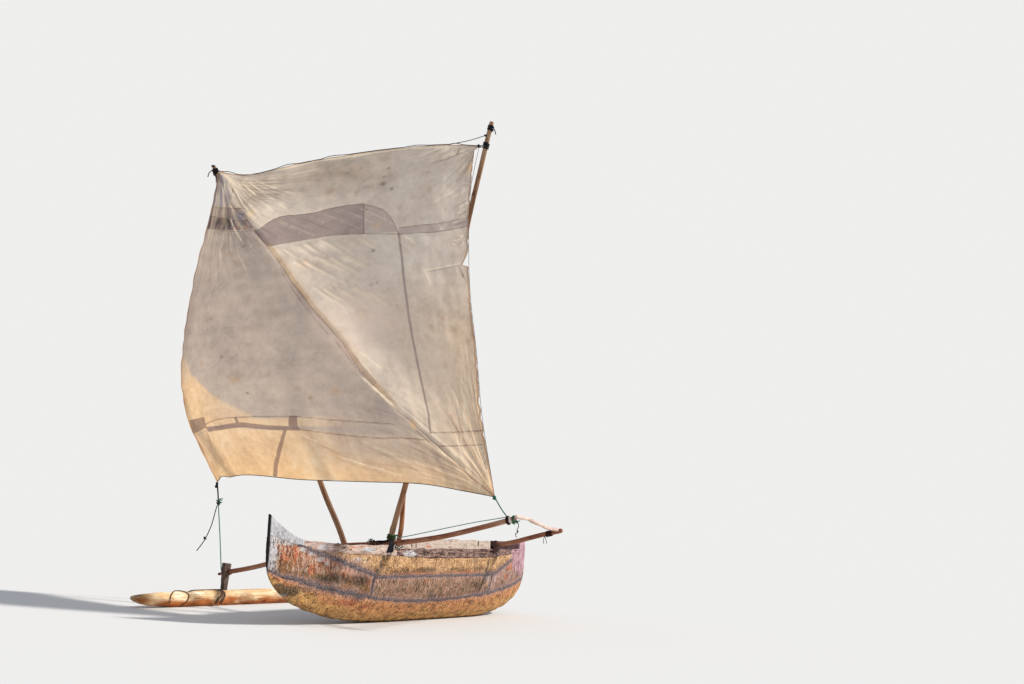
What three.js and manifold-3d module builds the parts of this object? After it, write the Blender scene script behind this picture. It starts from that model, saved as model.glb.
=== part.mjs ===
// A small single-outrigger sailing canoe, drawn up on a beach with its square sail set.
// Millimetres, +X to the bow, +Y to port, +Z up, origin on the worn flat of the keel.
// The canoe leans to starboard until its float touches the ground, so all of it is
// modelled upright in one inner group, which is then heeled and set down on z = 0.
import * as THREE from 'three';
import { mergeVertices } from 'three/addons/utils/BufferGeometryUtils.js';
import Module from 'manifold-3d';

const wasm = await Module();
wasm.setup();
const { clamp, degToRad, lerp } = THREE.MathUtils;
const v = (x, y, z) => new THREE.Vector3(x, y, z);

// Driving dimensions of the hull
const BOW_X = 2440;            // stem
const STERN_X = -2700;         // sternpost
const WIDEST_X = -100;
const HALF_BEAM = 340;
const SIDE_TOP_Z = 700;        // height where the sides have become upright
const TIP = { bow: { half: 12, power: 2.1 }, stern: { half: 35, power: 3 } };
const BOW_KEEL = { start: 150, end: BOW_X, rise: 550, power: 2.4 };
const STERN_KEEL = { start: -1250, end: STERN_X, rise: 400, power: 2.2 };
const BILGE_POWER = 2.3;       // roundness of the section
const PLANK = 22;              // thickness of the sides
const BOTTOM = 48;             // thickness of the dugout along the keel
const HOLLOW = { fore: 2010, aft: -2330 };
const LOFT_TOP = 1060;
const SEAM = 0.3;              // gap between touching pieces
const FLAT_DEPTH = 4;          // how far keel and float are worn flat
const HEEL = degToRad(4.4);

// Seams and edges of the planks, as heights over x
const LOWER_SEAM = { middle: 193, foreRise: 50, aftRise: 25.8 };   // rise at 1 m, by the square
const UPPER_SEAM = { middle: 425, foreX: 950, foreSlope: 0.248, aftX: -1410, aftSlope: 0.246 };
const TOP_SEAM = { middle: 592, foreX: 0, foreSlope: 0.03, aftX: -1300, aftSlope: 0.05 };
const STEP_X = 665;            // the gunwale is higher forward of the boom
const GUNWALE = { aft: 676, fore: 714, sheerX: 1300, length: 700, sheer: 40, power: 1.5 };
const PROW = { x: 2005, foot: 757, rise: 213, power: 1.5 };
const WASHBOARD = { aft: -1290, top: 772, peakX: -200, fall: 75, length: 860, slope: 0.013 };
const STERN_TOP = 752;
const BUTT = { fore: 1000, aft: -1400 };
const SCARF = { aft: -1500, middle: -150, fore: 1150 };   // joints across the dugout
const UPPER_STRAKE = { fore: 1820, aft: -2240 };

// Outrigger
const BOOM_X = { fore: 700, aft: -1600 };
const BOOM_R = 23;
const STICK_R = 17;
const FLOAT = { y: -1500, r: 73, tip: 2235, tail: -2050 };
const BOARD = { thick: 36, tenon: 22, slope: 10 };

// Rig
const FOOT = { x: 640, z: 150 };   // line on which the spars are stepped
const SPAR = { foot: 28, tip: 21 };
const PROP_HEAD = 16;
const SAIL_THICK = 6;
const BELLY = 260;
const ROPE_R = 6;
const TAIL_R = 3.5;

const colours = {
  dugout: 0x9a6a3a, bowPanel: 0xa8693f, midPanel: 0x8f5c42, sternPanel: 0xa4654a,
  upperStrake: 0xcda869, topStrake: 0x8d7468, washboard: 0xd8c4a4, prow: 0xa79c94,
  sternBlock: 0xc98a86, boom: 0x7d4a36, pole: 0xa0663d, board: 0x5e4a3e, log: 0xcfa76a,
  thwart: 0x9b8266, sail: 0xcdb79d, rope: 0x1d1c1e, greenRope: 0x2f6e4e, stick: 0xd6c6ad,
};

const group = new THREE.Group();
group.rotation.x = HEEL;
group.position.z = -FLAT_DEPTH;

function add(name, shape, colour, roughness = 0.8) {
  const geometry = shape.isBufferGeometry ? shape : toGeometry(shape);
  const material = new THREE.MeshStandardMaterial({ color: colours[colour], roughness, metalness: 0 });
  const mesh = new THREE.Mesh(geometry, material);
  mesh.name = name;
  group.add(mesh);
}

// Solids: closed meshes to cut and join, and back again
function toSolid(geometry) {
  const bare = geometry.clone();
  bare.deleteAttribute('normal');
  bare.deleteAttribute('uv');
  const merged = mergeVertices(bare, 1e-4);
  return new wasm.Manifold(new wasm.Mesh({
    numProp: 3,
    vertProperties: new Float32Array(merged.attributes.position.array),
    triVerts: new Uint32Array(merged.index.array),
  }));
}

function toGeometry(solid) {
  const mesh = solid.getMesh();
  const geometry = new THREE.BufferGeometry();
  geometry.setAttribute('position', new THREE.BufferAttribute(mesh.vertProperties, 3));
  geometry.setIndex(new THREE.BufferAttribute(mesh.triVerts, 1));
  geometry.computeVertexNormals();
  return geometry;
}

// Closed body through rings of points that all have the same count
function loft(rings) {
  const count = rings[0].length;
  const index = [];
  for (let i = 0; i < rings.length - 1; i += 1) {
    for (let j = 0; j < count; j += 1) {
      const a = i * count + j;
      const b = i * count + ((j + 1) % count);
      index.push(a, b + count, b, a, a + count, b + count);
    }
  }
  const last = (rings.length - 1) * count;
  for (let j = 1; j < count - 1; j += 1) {
    index.push(0, j, j + 1, last, last + j + 1, last + j);
  }
  const geometry = new THREE.BufferGeometry().setFromPoints(rings.flat());
  geometry.setIndex(index);
  return geometry;
}

// Round bar along a path
function tube(points, radius, steps = 24, sides = 10) {
  const circle = new THREE.Shape().absarc(0, 0, radius, 0, 2 * Math.PI);
  const extrudePath = points.length === 2
    ? new THREE.LineCurve3(...points) : new THREE.CatmullRomCurve3(points);
  const options = { steps, curveSegments: sides / 2, bevelEnabled: false, extrudePath };
  return new THREE.ExtrudeGeometry(circle, options);
}

function box(from, to) {
  const middle = from.clone().add(to).multiplyScalar(0.5);
  const size = to.clone().sub(from);
  return new THREE.BoxGeometry(size.x, size.y, size.z).translate(middle.x, middle.y, middle.z);
}

// Hull shape: keel line, half breadth in plan, and half breadth at a height
function keelZ(x) {
  const { start, end, rise, power } = x > 0 ? BOW_KEEL : STERN_KEEL;
  const s = clamp((x - start) / (end - start), 0, 1);
  return rise * (1 - Math.sqrt(1 - s ** power));
}

function planHalf(x) {
  const end = x > WIDEST_X ? BOW_X : STERN_X;
  const { half, power } = x > WIDEST_X ? TIP.bow : TIP.stern;
  const s = Math.min(1, (x - WIDEST_X) / (end - WIDEST_X));
  return half + (HALF_BEAM - half) * (1 - s ** power);
}

function sideY(half, floor, z) {
  const u = clamp((z - floor) / (SIDE_TOP_Z - floor), 0, 1);
  return half * Math.sqrt(1 - (1 - u) ** BILGE_POWER);
}

// Stations that crowd towards both ends
function stations(from, to, count) {
  const crowding = 0.8;
  return Array.from({ length: count + 1 }, (_, i) => {
    const t = i / count;
    return lerp(from, to, lerp(t, 0.5 - 0.5 * Math.cos(Math.PI * t), crowding));
  });
}

// One hull section, from port top down round the keel and up to starboard top
function hullRing(x, inset, floorThickness) {
  const narrowest = 4;
  const steps = 9;
  const crowding = 1.8;
  const floor = keelZ(x) + floorThickness;
  const half = Math.max(narrowest, planHalf(x) - inset);
  const side = Array.from({ length: steps + 1 }, (_, j) => {
    const z = floor + (SIDE_TOP_Z - floor) * (1 - j / steps) ** crowding;
    return [sideY(half, floor, z), z];
  });
  side.unshift([half, LOFT_TOP]);
  const port = side.map(([y, z]) => v(x, y, z));
  const starboard = side.slice(0, -1).reverse().map(([y, z]) => v(x, -y, z));
  return [...port, ...starboard];
}

function hullBody(aft, fore, count, inset, floorThickness) {
  return toSolid(loft(stations(aft, fore, count).map((x) => hullRing(x, inset, floorThickness))));
}

const hullOuter = hullBody(STERN_X, BOW_X, 30, 0, 0);
const shell = hullOuter.subtract(hullBody(HOLLOW.aft, HOLLOW.fore, 26, PLANK, BOTTOM));
const inside = hullBody(HOLLOW.aft + SEAM, HOLLOW.fore - SEAM, 26, PLANK + SEAM, BOTTOM + SEAM);

// All seams are drawn through the same places, so that neighbouring planks meet along
// the same straight pieces
const PAST_END = 50;           // how far the cutting slabs run past the hull
const GRID_STEP = 175;
const CROSSINGS = [-2265, 1847];   // where the upper strake runs out under the top strake
const grid = Array.from({ length: 31 }, (_, i) => STERN_X - PAST_END + i * GRID_STEP)
  .concat(CROSSINGS, UPPER_SEAM.foreX, UPPER_SEAM.aftX, STEP_X - 1, STEP_X + 1)
  .sort((a, b) => a - b);

function onGrid(curve) {
  return (x) => {
    const i = Math.max(1, grid.findIndex((g) => g >= x));
    const t = (x - grid[i - 1]) / (grid[i] - grid[i - 1]);
    return lerp(curve(grid[i - 1]), curve(grid[i]), t);
  };
}

function bent({ middle, foreX, foreSlope, aftX, aftSlope }) {
  return (x) => middle + foreSlope * Math.max(0, x - foreX) + aftSlope * Math.max(0, aftX - x);
}

function gunwale(x) {
  if (x <= STEP_X) return GUNWALE.aft;
  const s = Math.max(0, (x - GUNWALE.sheerX) / GUNWALE.length);
  return GUNWALE.fore + GUNWALE.sheer * s ** GUNWALE.power;
}

function washboardTop(x) {
  const past = x - WASHBOARD.peakX;
  const fall = WASHBOARD.fall * Math.max(0, past / WASHBOARD.length) ** 2;
  return WASHBOARD.top - fall + WASHBOARD.slope * Math.min(0, past);
}

function prowTop(x) {
  return PROW.foot + PROW.rise * Math.max(0, (x - PROW.x) / (BOW_X - PROW.x)) ** PROW.power;
}

const lowerSeam = onGrid((x) => {
  const rise = x > 0 ? LOWER_SEAM.foreRise : LOWER_SEAM.aftRise;
  return LOWER_SEAM.middle + rise * (x / 1000) ** 2;
});
const upperSeam = onGrid(bent(UPPER_SEAM));
const topSeam = onGrid(bent(TOP_SEAM));
const topStrakeFoot = onGrid((x) => Math.max(upperSeam(x), topSeam(x)));
const gunwaleAft = () => GUNWALE.aft;
const sternTop = () => STERN_TOP;
const below = () => -100;

// Slab between two height curves from x0 to x1: side 1 is port, -1 starboard, 0 both
function slab(x0, x1, low, high, side) {
  const reach = 500;
  const closest = 0.01;
  const all = [x0, ...grid.filter((x) => x > x0 + closest && x < x1 - closest), x1];
  const outline = all.map((x) => new THREE.Vector2(x, low(x) + SEAM / 2));
  all.reverse().forEach((x) => outline.push(new THREE.Vector2(x, high(x) - SEAM / 2)));
  const depth = side === 0 ? 2 * reach : reach;
  const portFace = side === -1 ? -SEAM / 2 : reach + side * SEAM / 2;
  const geometry = new THREE.ExtrudeGeometry(new THREE.Shape(outline), { depth, bevelEnabled: false })
    .rotateX(Math.PI / 2).translate(0, portFace, 0);
  return toSolid(geometry);
}

// Booms: natural sweeps from the float to beyond the port side, as across and up
const boomTable = {
  fore: [[-1585, 405], [-1000, 527], [-310, 690], [310, 731], [780, 798], [1200, 891], [1520, 974]],
  aft: [[-1585, 408], [-1000, 530], [-310, 693], [310, 736], [600, 794], [950, 874]],
};
const boomPoints = Object.fromEntries(Object.entries(boomTable)
  .map(([end, rows]) => [end, rows.map(([y, z]) => v(BOOM_X[end], y, z))]));
const boomSolid = (end, extra = 0) => toSolid(tube(boomPoints[end], BOOM_R + extra, 22));
const boomHoles = ['fore', 'aft'].map((end) => boomSolid(end, SEAM));
const withoutBooms = (solid) => boomHoles.reduce((rest, hole) => rest.subtract(hole), solid);

// What lies under the ground in the upright hull's frame is worn away
const GROUND = { half: 4000, depth: 400 };
const ground = toSolid(box(v(-GROUND.half, -GROUND.half, FLAT_DEPTH - GROUND.depth),
  v(GROUND.half, GROUND.half, FLAT_DEPTH)).rotateX(-HEEL));

// Hull planking: port and starboard, but for the washboard, which stands on the port side only
const SIDES = { port: 1, starboard: -1 };
const BOTH = Object.keys(SIDES);
const hullEnds = [STERN_X - PAST_END, BOW_X + PAST_END];
const planking = [
  // name, sides, from x, to x, lower curve, upper curve, colour
  ['bow_panel', BOTH, BUTT.fore, hullEnds[1], lowerSeam, upperSeam, 'bowPanel'],
  ['middle_panel', BOTH, BUTT.aft, BUTT.fore, lowerSeam, upperSeam, 'midPanel'],
  ['stern_panel', BOTH, hullEnds[0], BUTT.aft, lowerSeam, upperSeam, 'sternPanel'],
  ['upper_strake', BOTH, UPPER_STRAKE.aft, UPPER_STRAKE.fore, upperSeam, topSeam, 'upperStrake'],
  ['top_strake', BOTH, HOLLOW.aft, STEP_X, topStrakeFoot, gunwale, 'topStrake'],
  ['top_strake_bow', BOTH, STEP_X, PROW.x, topStrakeFoot, gunwale, 'topStrake'],
  ['washboard', ['port'], WASHBOARD.aft, STEP_X - 2, gunwaleAft, washboardTop, 'washboard'],
];
const dugoutLengths = [
  // name, from x, to x
  ['dugout_stern', hullEnds[0], SCARF.aft],
  ['dugout_aft', SCARF.aft, SCARF.middle],
  ['dugout_fore', SCARF.middle, SCARF.fore],
  ['dugout_bow', SCARF.fore, hullEnds[1]],
];
for (const [name, x0, x1] of dugoutLengths) {
  const length = shell.intersect(slab(x0 + SEAM / 2, x1 - SEAM / 2, below, lowerSeam, 0));
  add(name, length.subtract(ground), 'dugout');
}
for (const [name, sides, x0, x1, low, high, colour] of planking) {
  for (const side of sides) {
    const plank = shell.intersect(slab(x0 + SEAM / 2, x1 - SEAM / 2, low, high, SIDES[side]));
    add(`${name}_${side}`, colour === 'topStrake' ? withoutBooms(plank) : plank, colour);
  }
}

// Solid ends: the raised prow piece, and the block across the stern
const STERN_TRIM = 5;
add('prow_piece', hullOuter.intersect(slab(PROW.x + SEAM / 2, hullEnds[1], upperSeam, prowTop, 0)), 'prow');
add('stern_block', hullOuter.intersect(
  slab(STERN_X - STERN_TRIM, HOLLOW.aft - SEAM / 2, upperSeam, sternTop, 0),
), 'sternBlock');

// Thwarts: three planks let in between the sides, trimmed to the hollow
const THWART_THICK = 24;
const thwarts = [
  // name, middle in x, underside height, width along x
  ['thwart_middle', -60, 590, 170],
  ['thwart_aft', -1180, 585, 170],
  ['thwart_fore', 1420, 600, 130],
];
for (const [name, x, z, width] of thwarts) {
  const plank = box(v(x - width / 2, -HALF_BEAM, z), v(x + width / 2, HALF_BEAM, z + THWART_THICK));
  add(name, toSolid(plank).intersect(inside), 'thwart');
}

// Mast step: a block across the bilge, trimmed to the hollow, with two low cheeks
const STEP = { length: 210, half: 210, floor: 30, play: 8, cheek: 30, lip: 16 };
const stepTop = FOOT.z - SPAR.foot - SEAM;
const stepBlock = box(v(FOOT.x - STEP.length / 2, -STEP.half, STEP.floor),
  v(FOOT.x + STEP.length / 2, STEP.half, stepTop));
const cheekX = SPAR.foot + STEP.play;
const cheeks = [-cheekX - STEP.cheek, cheekX].map((x) => toSolid(box(
  v(FOOT.x + x, -STEP.half, stepTop - STEP.lip),
  v(FOOT.x + x + STEP.cheek, STEP.half, stepTop + STEP.lip),
)));
add('mast_step', toSolid(stepBlock).add(cheeks[0]).add(cheeks[1]).intersect(inside), 'thwart');

// Booms and the crooked stick that joins their ends
const stickPath = [
  v(750, 1542, 987), v(474, 1476, 980), v(-61, 1327, 957), v(-675, 1155, 912),
  v(-1280, 985, 884), v(BOOM_X.aft, 898, 880),
];
const stickSolid = (extra = 0) => toSolid(tube(stickPath, STICK_R + extra, 24, 8));
add('boom_fore', boomSolid('fore').subtract(stickSolid(SEAM)), 'boom', 0.75);
add('boom_aft', boomSolid('aft'), 'boom', 0.75);
add('end_stick', stickSolid().subtract(boomSolid('aft', SEAM)), 'stick');

// Float: a bare log with a blunt, slightly raised tip
const FLOAT_Z = (FLOAT.r - FLOAT.y * Math.sin(HEEL)) / Math.cos(HEEL);
const LOG_SIDES = 18;
const floatTable = [
  // x, radius, height of the axis above the straight part
  [FLOAT.tail, 30, 14],
  [FLOAT.tail + 40, 48, 10],
  [-1800, 62, 2],
  [-1200, FLOAT.r - 3, -3],
  [-300, FLOAT.r, 0],
  [FLOAT.tip - 1200, FLOAT.r, 0],
  [FLOAT.tip - 620, 71, 0],
  [FLOAT.tip - 300, 58, 6],
  [FLOAT.tip - 140, 45, 14],
  [FLOAT.tip - 40, 30, 22],
  [FLOAT.tip, 16, 26],
];
function logRing(x, radius, rise) {
  return Array.from({ length: LOG_SIDES }, (_, i) => {
    const a = (2 * Math.PI * i) / LOG_SIDES;
    return v(x, FLOAT.y + radius * Math.cos(a), FLOAT_Z + rise - radius * Math.sin(a));
  });
}
const logSolid = (extra) => toSolid(loft(floatTable.map(([x, r, rise]) => logRing(x, r + extra, rise))));

// Stanchions: tapered boards stepped in the float, with the boom through them
const stanchionTable = [
  // name, boom, foot centre x, head centre x, head height, foot width, head width
  ['stanchion_fore', 'fore', 735, 692, 516, 66, 116],
  ['stanchion_aft', 'aft', -1570, -1606, 512, 66, 112],
];
function boardSolid(footX, headX, headZ, footW, headW, grow) {
  const footZ = FLOAT_Z + FLOAT.r - BOARD.tenon - grow;
  const outline = [
    [footX - footW / 2 - grow, footZ],
    [footX + footW / 2 + grow, footZ],
    [headX + headW / 2 + grow, headZ + grow],
    [headX - headW / 2 - grow, headZ - BOARD.slope + grow],
  ].map(([x, z]) => new THREE.Vector2(x, z));
  const depth = BOARD.thick + 2 * grow;
  return toSolid(new THREE.ExtrudeGeometry(new THREE.Shape(outline), { depth, bevelEnabled: false })
    .rotateX(Math.PI / 2).translate(0, FLOAT.y + depth / 2, 0));
}
const mortises = stanchionTable.map(([, , ...size]) => boardSolid(...size, SEAM));
const mortised = mortises.reduce((rest, mortise) => rest.subtract(mortise), logSolid(0));
add('float', mortised.subtract(ground), 'log', 0.7);
for (const [name, end, ...size] of stanchionTable) {
  add(name, boardSolid(...size, 0).subtract(boomSolid(end, SEAM)), 'board');
}

// Rope windings: closed rings round a pole, cut to fit what they are wound on
const BITE = 1;                // how far a winding starts inside what it is wound on
const RING_SIDES = 14;
function winding(centre, direction, inner, thick, width) {
  const section = [
    [inner - BITE, -width / 2],
    [inner + thick, -width / 2 + thick / 3],
    [inner + thick, width / 2 - thick / 3],
    [inner - BITE, width / 2],
    [inner - BITE, -width / 2],
  ].map(([r, h]) => new THREE.Vector2(r, h));
  const turn = new THREE.Quaternion().setFromUnitVectors(v(0, 1, 0), direction.clone().normalize());
  const place = new THREE.Matrix4().compose(centre, turn, v(1, 1, 1));
  return toSolid(new THREE.LatheGeometry(section, RING_SIDES).applyMatrix4(place));
}
function alongBoom(end, y) {
  const curve = new THREE.CatmullRomCurve3(boomPoints[end]);
  const steps = 400;
  const places = Array.from({ length: steps + 1 }, (_, i) => i / steps);
  const off = (t) => Math.abs(curve.getPoint(t).y - y);
  const nearest = places.reduce((best, t) => (off(t) < off(best) ? t : best));
  return [curve.getPoint(nearest), curve.getTangent(nearest)];
}
const windings = [
  // name, boom, place across, thickness, width
  ['lashing_fore_port', 'fore', 269, 11, 30],
  ['lashing_fore_starboard', 'fore', -352, 11, 46],
  ['lashing_aft_port', 'aft', 200, 11, 90],
  ['lashing_aft_starboard', 'aft', -315, 11, 46],
  ['lashing_stanchion_fore', 'fore', FLOAT.y + 48, 10, 40],
  ['lashing_stanchion_aft', 'aft', FLOAT.y + 48, 10, 40],
  ['boom_wrap', 'fore', 105, 6, 160],
];
for (const [name, end, y, thick, width] of windings) {
  const [point, direction] = alongBoom(end, y);
  add(name, winding(point, direction, BOOM_R, thick, width).subtract(boomSolid(end, SEAM)), 'rope');
}
const BAND = { thick: 9, width: 30 };
for (const [name, x] of [['float_band_fore', 1420], ['float_band_aft', 880]]) {
  const band = winding(v(x, FLOAT.y, FLOAT_Z), v(1, 0, 0), FLOAT.r - BITE, BAND.thick - 1, BAND.width);
  add(name, band.subtract(logSolid(SEAM)).subtract(ground), 'rope');
}

// Rig: two spars and a thinner crooked pole, all stepped on one line across the bilge.
// Each foot is a ball on the line about which the rig tips.
const POLE_SIDES = 12;
const BALL_ANGLES = [0.12, 0.4, 0.75, 1.15];
function pole(points, footR, headR, steps = 14) {
  const curve = new THREE.CatmullRomCurve3(points);
  const ringAt = (centre, along, r) => {
    const n = v(1, 0, 0).addScaledVector(along, -along.x).normalize();
    const b = along.clone().cross(n);
    return Array.from({ length: POLE_SIDES }, (_, i) => {
      const a = (2 * Math.PI * i) / POLE_SIDES;
      return centre.clone().addScaledVector(n, r * Math.cos(a)).addScaledVector(b, r * Math.sin(a));
    });
  };
  const start = curve.getTangent(0);
  const ball = BALL_ANGLES.map((a) => ringAt(
    points[0].clone().addScaledVector(start, -footR * Math.cos(a)), start, footR * Math.sin(a),
  ));
  const shaft = Array.from({ length: steps + 1 }, (_, i) => {
    const t = i / steps;
    return ringAt(curve.getPoint(t), curve.getTangent(t), lerp(footR, headR, t));
  });
  return loft([...ball, ...shaft].reverse());
}
const sparPoints = {
  spar_starboard: [
    v(FOOT.x, -12, FOOT.z), v(FOOT.x, -248, 720), v(FOOT.x, -528, 1285),
    v(FOOT.x, -1160, 2790), v(FOOT.x, -1788, 4294), v(FOOT.x, -1801, 4326),
  ],
  spar_port: [
    v(FOOT.x, 60, FOOT.z), v(FOOT.x, 236, 795), v(FOOT.x, 363, 1263), v(FOOT.x, 680, 2540),
    v(FOOT.x, 995, 3821), v(FOOT.x, 1174, 4550), v(FOOT.x, 1182, 4582),
  ],
};
for (const [name, points] of Object.entries(sparPoints)) {
  add(name, pole(points, SPAR.foot, SPAR.tip), 'pole', 0.7);
}
const propPoints = [v(FOOT.x, 122, FOOT.z), v(512, 246, 791), v(582, 338, 1286), v(590, 470, 1760)];
add('prop_pole', pole(propPoints, SPAR.foot, PROP_HEAD, 8), 'pole', 0.7);

// Sail: four edges, each through a few places that are forward, across, up
const sailEdges = {
  head: [
    [675, -1731, 4276], [800, -1312, 4196], [890, -796, 4245], [930, -236, 4297],
    [890, 371, 4344], [770, 824, 4369], [680, 1075, 4355],
  ],
  foot: [
    [950, -1468, 1271], [1030, -1167, 1336], [1120, -436, 1296], [1120, 210, 1281],
    [1020, 766, 1265], [900, 1107, 1208], [800, 1350, 1163],
  ],
  starboard: [
    [950, -1468, 1271], [1090, -1718, 1848], [1140, -1778, 2269], [1090, -1777, 2746],
    [970, -1757, 3300], [820, -1724, 3798], [675, -1731, 4276],
  ],
  port: [
    [800, 1350, 1163], [970, 1296, 1863], [1000, 1240, 2459], [970, 1155, 2965],
    [890, 1090, 3464], [780, 1046, 3937], [680, 1075, 4355],
  ],
};
const SAIL_GRID = { across: 16, up: 16 };
const edge = Object.fromEntries(Object.entries(sailEdges)
  .map(([name, rows]) => [name, new THREE.CatmullRomCurve3(rows.map((row) => v(...row)))]));

// Patch between the four edges, s from starboard to port, t from foot to head
function sailPoint(s, t) {
  const point = edge.foot.getPoint(s).multiplyScalar(1 - t)
    .addScaledVector(edge.head.getPoint(s), t)
    .addScaledVector(edge.starboard.getPoint(t), 1 - s)
    .addScaledVector(edge.port.getPoint(t), s)
    .addScaledVector(edge.foot.getPoint(0), -(1 - s) * (1 - t))
    .addScaledVector(edge.foot.getPoint(1), -s * (1 - t))
    .addScaledVector(edge.head.getPoint(0), -(1 - s) * t)
    .addScaledVector(edge.head.getPoint(1), -s * t);
  point.x += BELLY * Math.sin(Math.PI * s) * Math.sin(Math.PI * t);
  return point;
}

// As loft, for rings that are a thin strip: the ends are closed across the strip
function loftStrip(rings, up) {
  const body = loft(rings);
  const count = rings[0].length;
  const last = (rings.length - 1) * count;
  const index = Array.from(body.index.array).slice(0, last * 6);
  for (let j = 0; j < up; j += 1) {
    const [a, b, c, d] = [j, j + 1, count - 2 - j, count - 1 - j];
    index.push(a, b, c, a, c, d);
    index.push(last + a, last + c, last + b, last + a, last + d, last + c);
  }
  body.setIndex(index);
  return body;
}

function sailBody(thickness) {
  const { across, up } = SAIL_GRID;
  const rings = Array.from({ length: across + 1 }, (_, i) => {
    const column = Array.from({ length: up + 1 }, (__, j) => sailPoint(i / across, j / up));
    const front = column.map((p) => p.clone().add(v(thickness / 2, 0, 0)));
    const back = column.map((p) => p.clone().add(v(-thickness / 2, 0, 0))).reverse();
    return [...front, ...back];
  });
  return loftStrip(rings, up);
}
add('sail', sailBody(SAIL_THICK), 'sail', 0.95);
const sailRoom = toSolid(sailBody(SAIL_THICK + 2 * SEAM));

// Head lashings, round the spars' ends and up to the sail's corners
const HEAD = { thick: 13, width: 60, tieR: 8 };
const headTable = [
  // name, spar, height on the spar, sail corner
  ['lashing_head_starboard', sparPoints.spar_starboard, 4276, sailPoint(0, 1)],
  ['lashing_head_port', sparPoints.spar_port, 4360, sailPoint(1, 1)],
];
for (const [name, points, z, corner] of headTable) {
  const top = points.at(-1);
  const lower = points.at(-3);
  const centre = lower.clone().lerp(top, (z - lower.z) / (top.z - lower.z));
  const ring = winding(centre, top.clone().sub(lower), SPAR.tip, HEAD.thick, HEAD.width);
  const tie = toSolid(tube([centre, corner], HEAD.tieR, 2, 8));
  const room = toSolid(pole(points, SPAR.foot + SEAM, SPAR.tip + SEAM));
  add(name, ring.add(tie).subtract(room).subtract(sailRoom), 'rope');
}

// Sheets: taut ropes from the sail's lower corners to the stanchion and the boom's end
const BOARD_EDGE = v(757, FLOAT.y, 440);
const SHEET_Y = 1440;
const sheets = {
  sheet_starboard: [BOARD_EDGE, sailPoint(0, 0)],
  sheet_port: [alongBoom('fore', SHEET_Y)[0], sailPoint(1, 0)],
};
const sheetRoom = sailRoom.add(boomHoles[0]).add(mortises[0]);
for (const [name, ends] of Object.entries(sheets)) {
  add(name, toSolid(tube(ends, ROPE_R, 4, 8)).subtract(sheetRoom), 'greenRope');
}

// Loose end of the starboard sheet, hanging below its knot
const tailPath = [
  v(905, -1476, 1075), v(903, -1500, 1034), v(930, -1552, 835), v(950, -1585, 716),
  v(980, -1654, 625),
];
const knotRoom = toSolid(tube(sheets.sheet_starboard, ROPE_R + SEAM, 4, 8));
add('sheet_tail', toSolid(tube(tailPath, TAIL_R, 24, 8)).subtract(knotRoom), 'rope');

export default group;
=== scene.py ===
"""Looks of a small beached outrigger sailing canoe.

Metres, +X to the bow, +Y to port, +Z up. Everything is modelled on an upright hull, as the
part is, and to_world() then heels it onto its float.
"""
import math

import bmesh
import bpy
import numpy as np
from mathutils import Matrix, Vector


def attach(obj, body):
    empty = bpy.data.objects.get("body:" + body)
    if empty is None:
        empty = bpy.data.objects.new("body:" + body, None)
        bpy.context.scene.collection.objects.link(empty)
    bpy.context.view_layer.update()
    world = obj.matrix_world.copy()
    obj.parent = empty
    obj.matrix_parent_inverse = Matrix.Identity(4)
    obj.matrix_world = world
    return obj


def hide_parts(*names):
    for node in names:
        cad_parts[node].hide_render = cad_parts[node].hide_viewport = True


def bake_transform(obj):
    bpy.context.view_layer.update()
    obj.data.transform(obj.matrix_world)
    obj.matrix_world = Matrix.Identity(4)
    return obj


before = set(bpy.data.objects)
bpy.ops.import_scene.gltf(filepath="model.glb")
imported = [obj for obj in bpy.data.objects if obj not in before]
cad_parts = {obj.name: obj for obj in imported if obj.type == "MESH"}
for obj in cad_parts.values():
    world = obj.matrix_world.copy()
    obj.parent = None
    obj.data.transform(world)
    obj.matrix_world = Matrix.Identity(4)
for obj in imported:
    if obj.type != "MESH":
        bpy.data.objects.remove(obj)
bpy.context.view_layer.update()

# Sizes repeated from the part
HEEL = math.radians(4.4)
SINK = 0.004
BOW_X, STERN_X, WIDEST_X = 2.440, -2.700, -0.100
HALF_BEAM, SIDE_TOP = 0.340, 0.700
PLANK, BOTTOM = 0.022, 0.048
HOLLOW_FORE, HOLLOW_AFT = 2.010, -2.330
STEP_X, PROW_X = 0.665, 2.005
BUTT_FORE, BUTT_AFT = 1.000, -1.400
BOOM_X = {"fore": 0.700, "aft": -1.600}
BOOM_R, STICK_R = 0.023, 0.017
FLOAT_Y, FLOAT_R, FLOAT_TIP, FLOAT_TAIL = -1.500, 0.073, 2.235, -2.050
FLOAT_Z = (FLOAT_R - FLOAT_Y * math.sin(HEEL)) / math.cos(HEEL)
FOOT_X, FOOT_Z = 0.640, 0.150
SPAR_FOOT, SPAR_TIP, PROP_HEAD = 0.028, 0.021, 0.016
BELLY = 0.260

# Camera, as fitted to the photograph's view
CAMERA_PLACE = (18.905, 9.956, 1.625)
CAMERA_BACK = (0.900997, 0.430845, -0.050770)
CAMERA_ROLL = math.radians(4.948)
FOCAL_PIXELS = 2250
FRAME_WIDTH = 1024
SENSOR = 36.0

scene = bpy.context.scene


def make_camera():
    data = bpy.data.cameras.new("camera")
    data.sensor_width = SENSOR
    data.lens = FOCAL_PIXELS / FRAME_WIDTH * SENSOR
    data.clip_end = 500
    camera = bpy.data.objects.new("camera", data)
    scene.collection.objects.link(camera)
    turn = Vector(CAMERA_BACK).to_track_quat("Z", "Y").to_matrix().to_4x4()
    roll = Matrix.Rotation(CAMERA_ROLL, 4, "Z")
    camera.matrix_world = Matrix.Translation(CAMERA_PLACE) @ turn @ roll
    scene.camera = camera


make_camera()


# Shapes in numbers

def to_world(points):
    """Points of the upright hull, heeled and set down on the ground."""
    x, y, z = np.asarray(points, float).reshape(-1, 3).T
    c, s = math.cos(HEEL), math.sin(HEEL)
    return np.column_stack([x, y * c - z * s, y * s + z * c - SINK])


def smooth(low, high, value):
    t = np.clip((value - low) / (high - low), 0, 1)
    return t * t * (3 - 2 * t)


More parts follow.
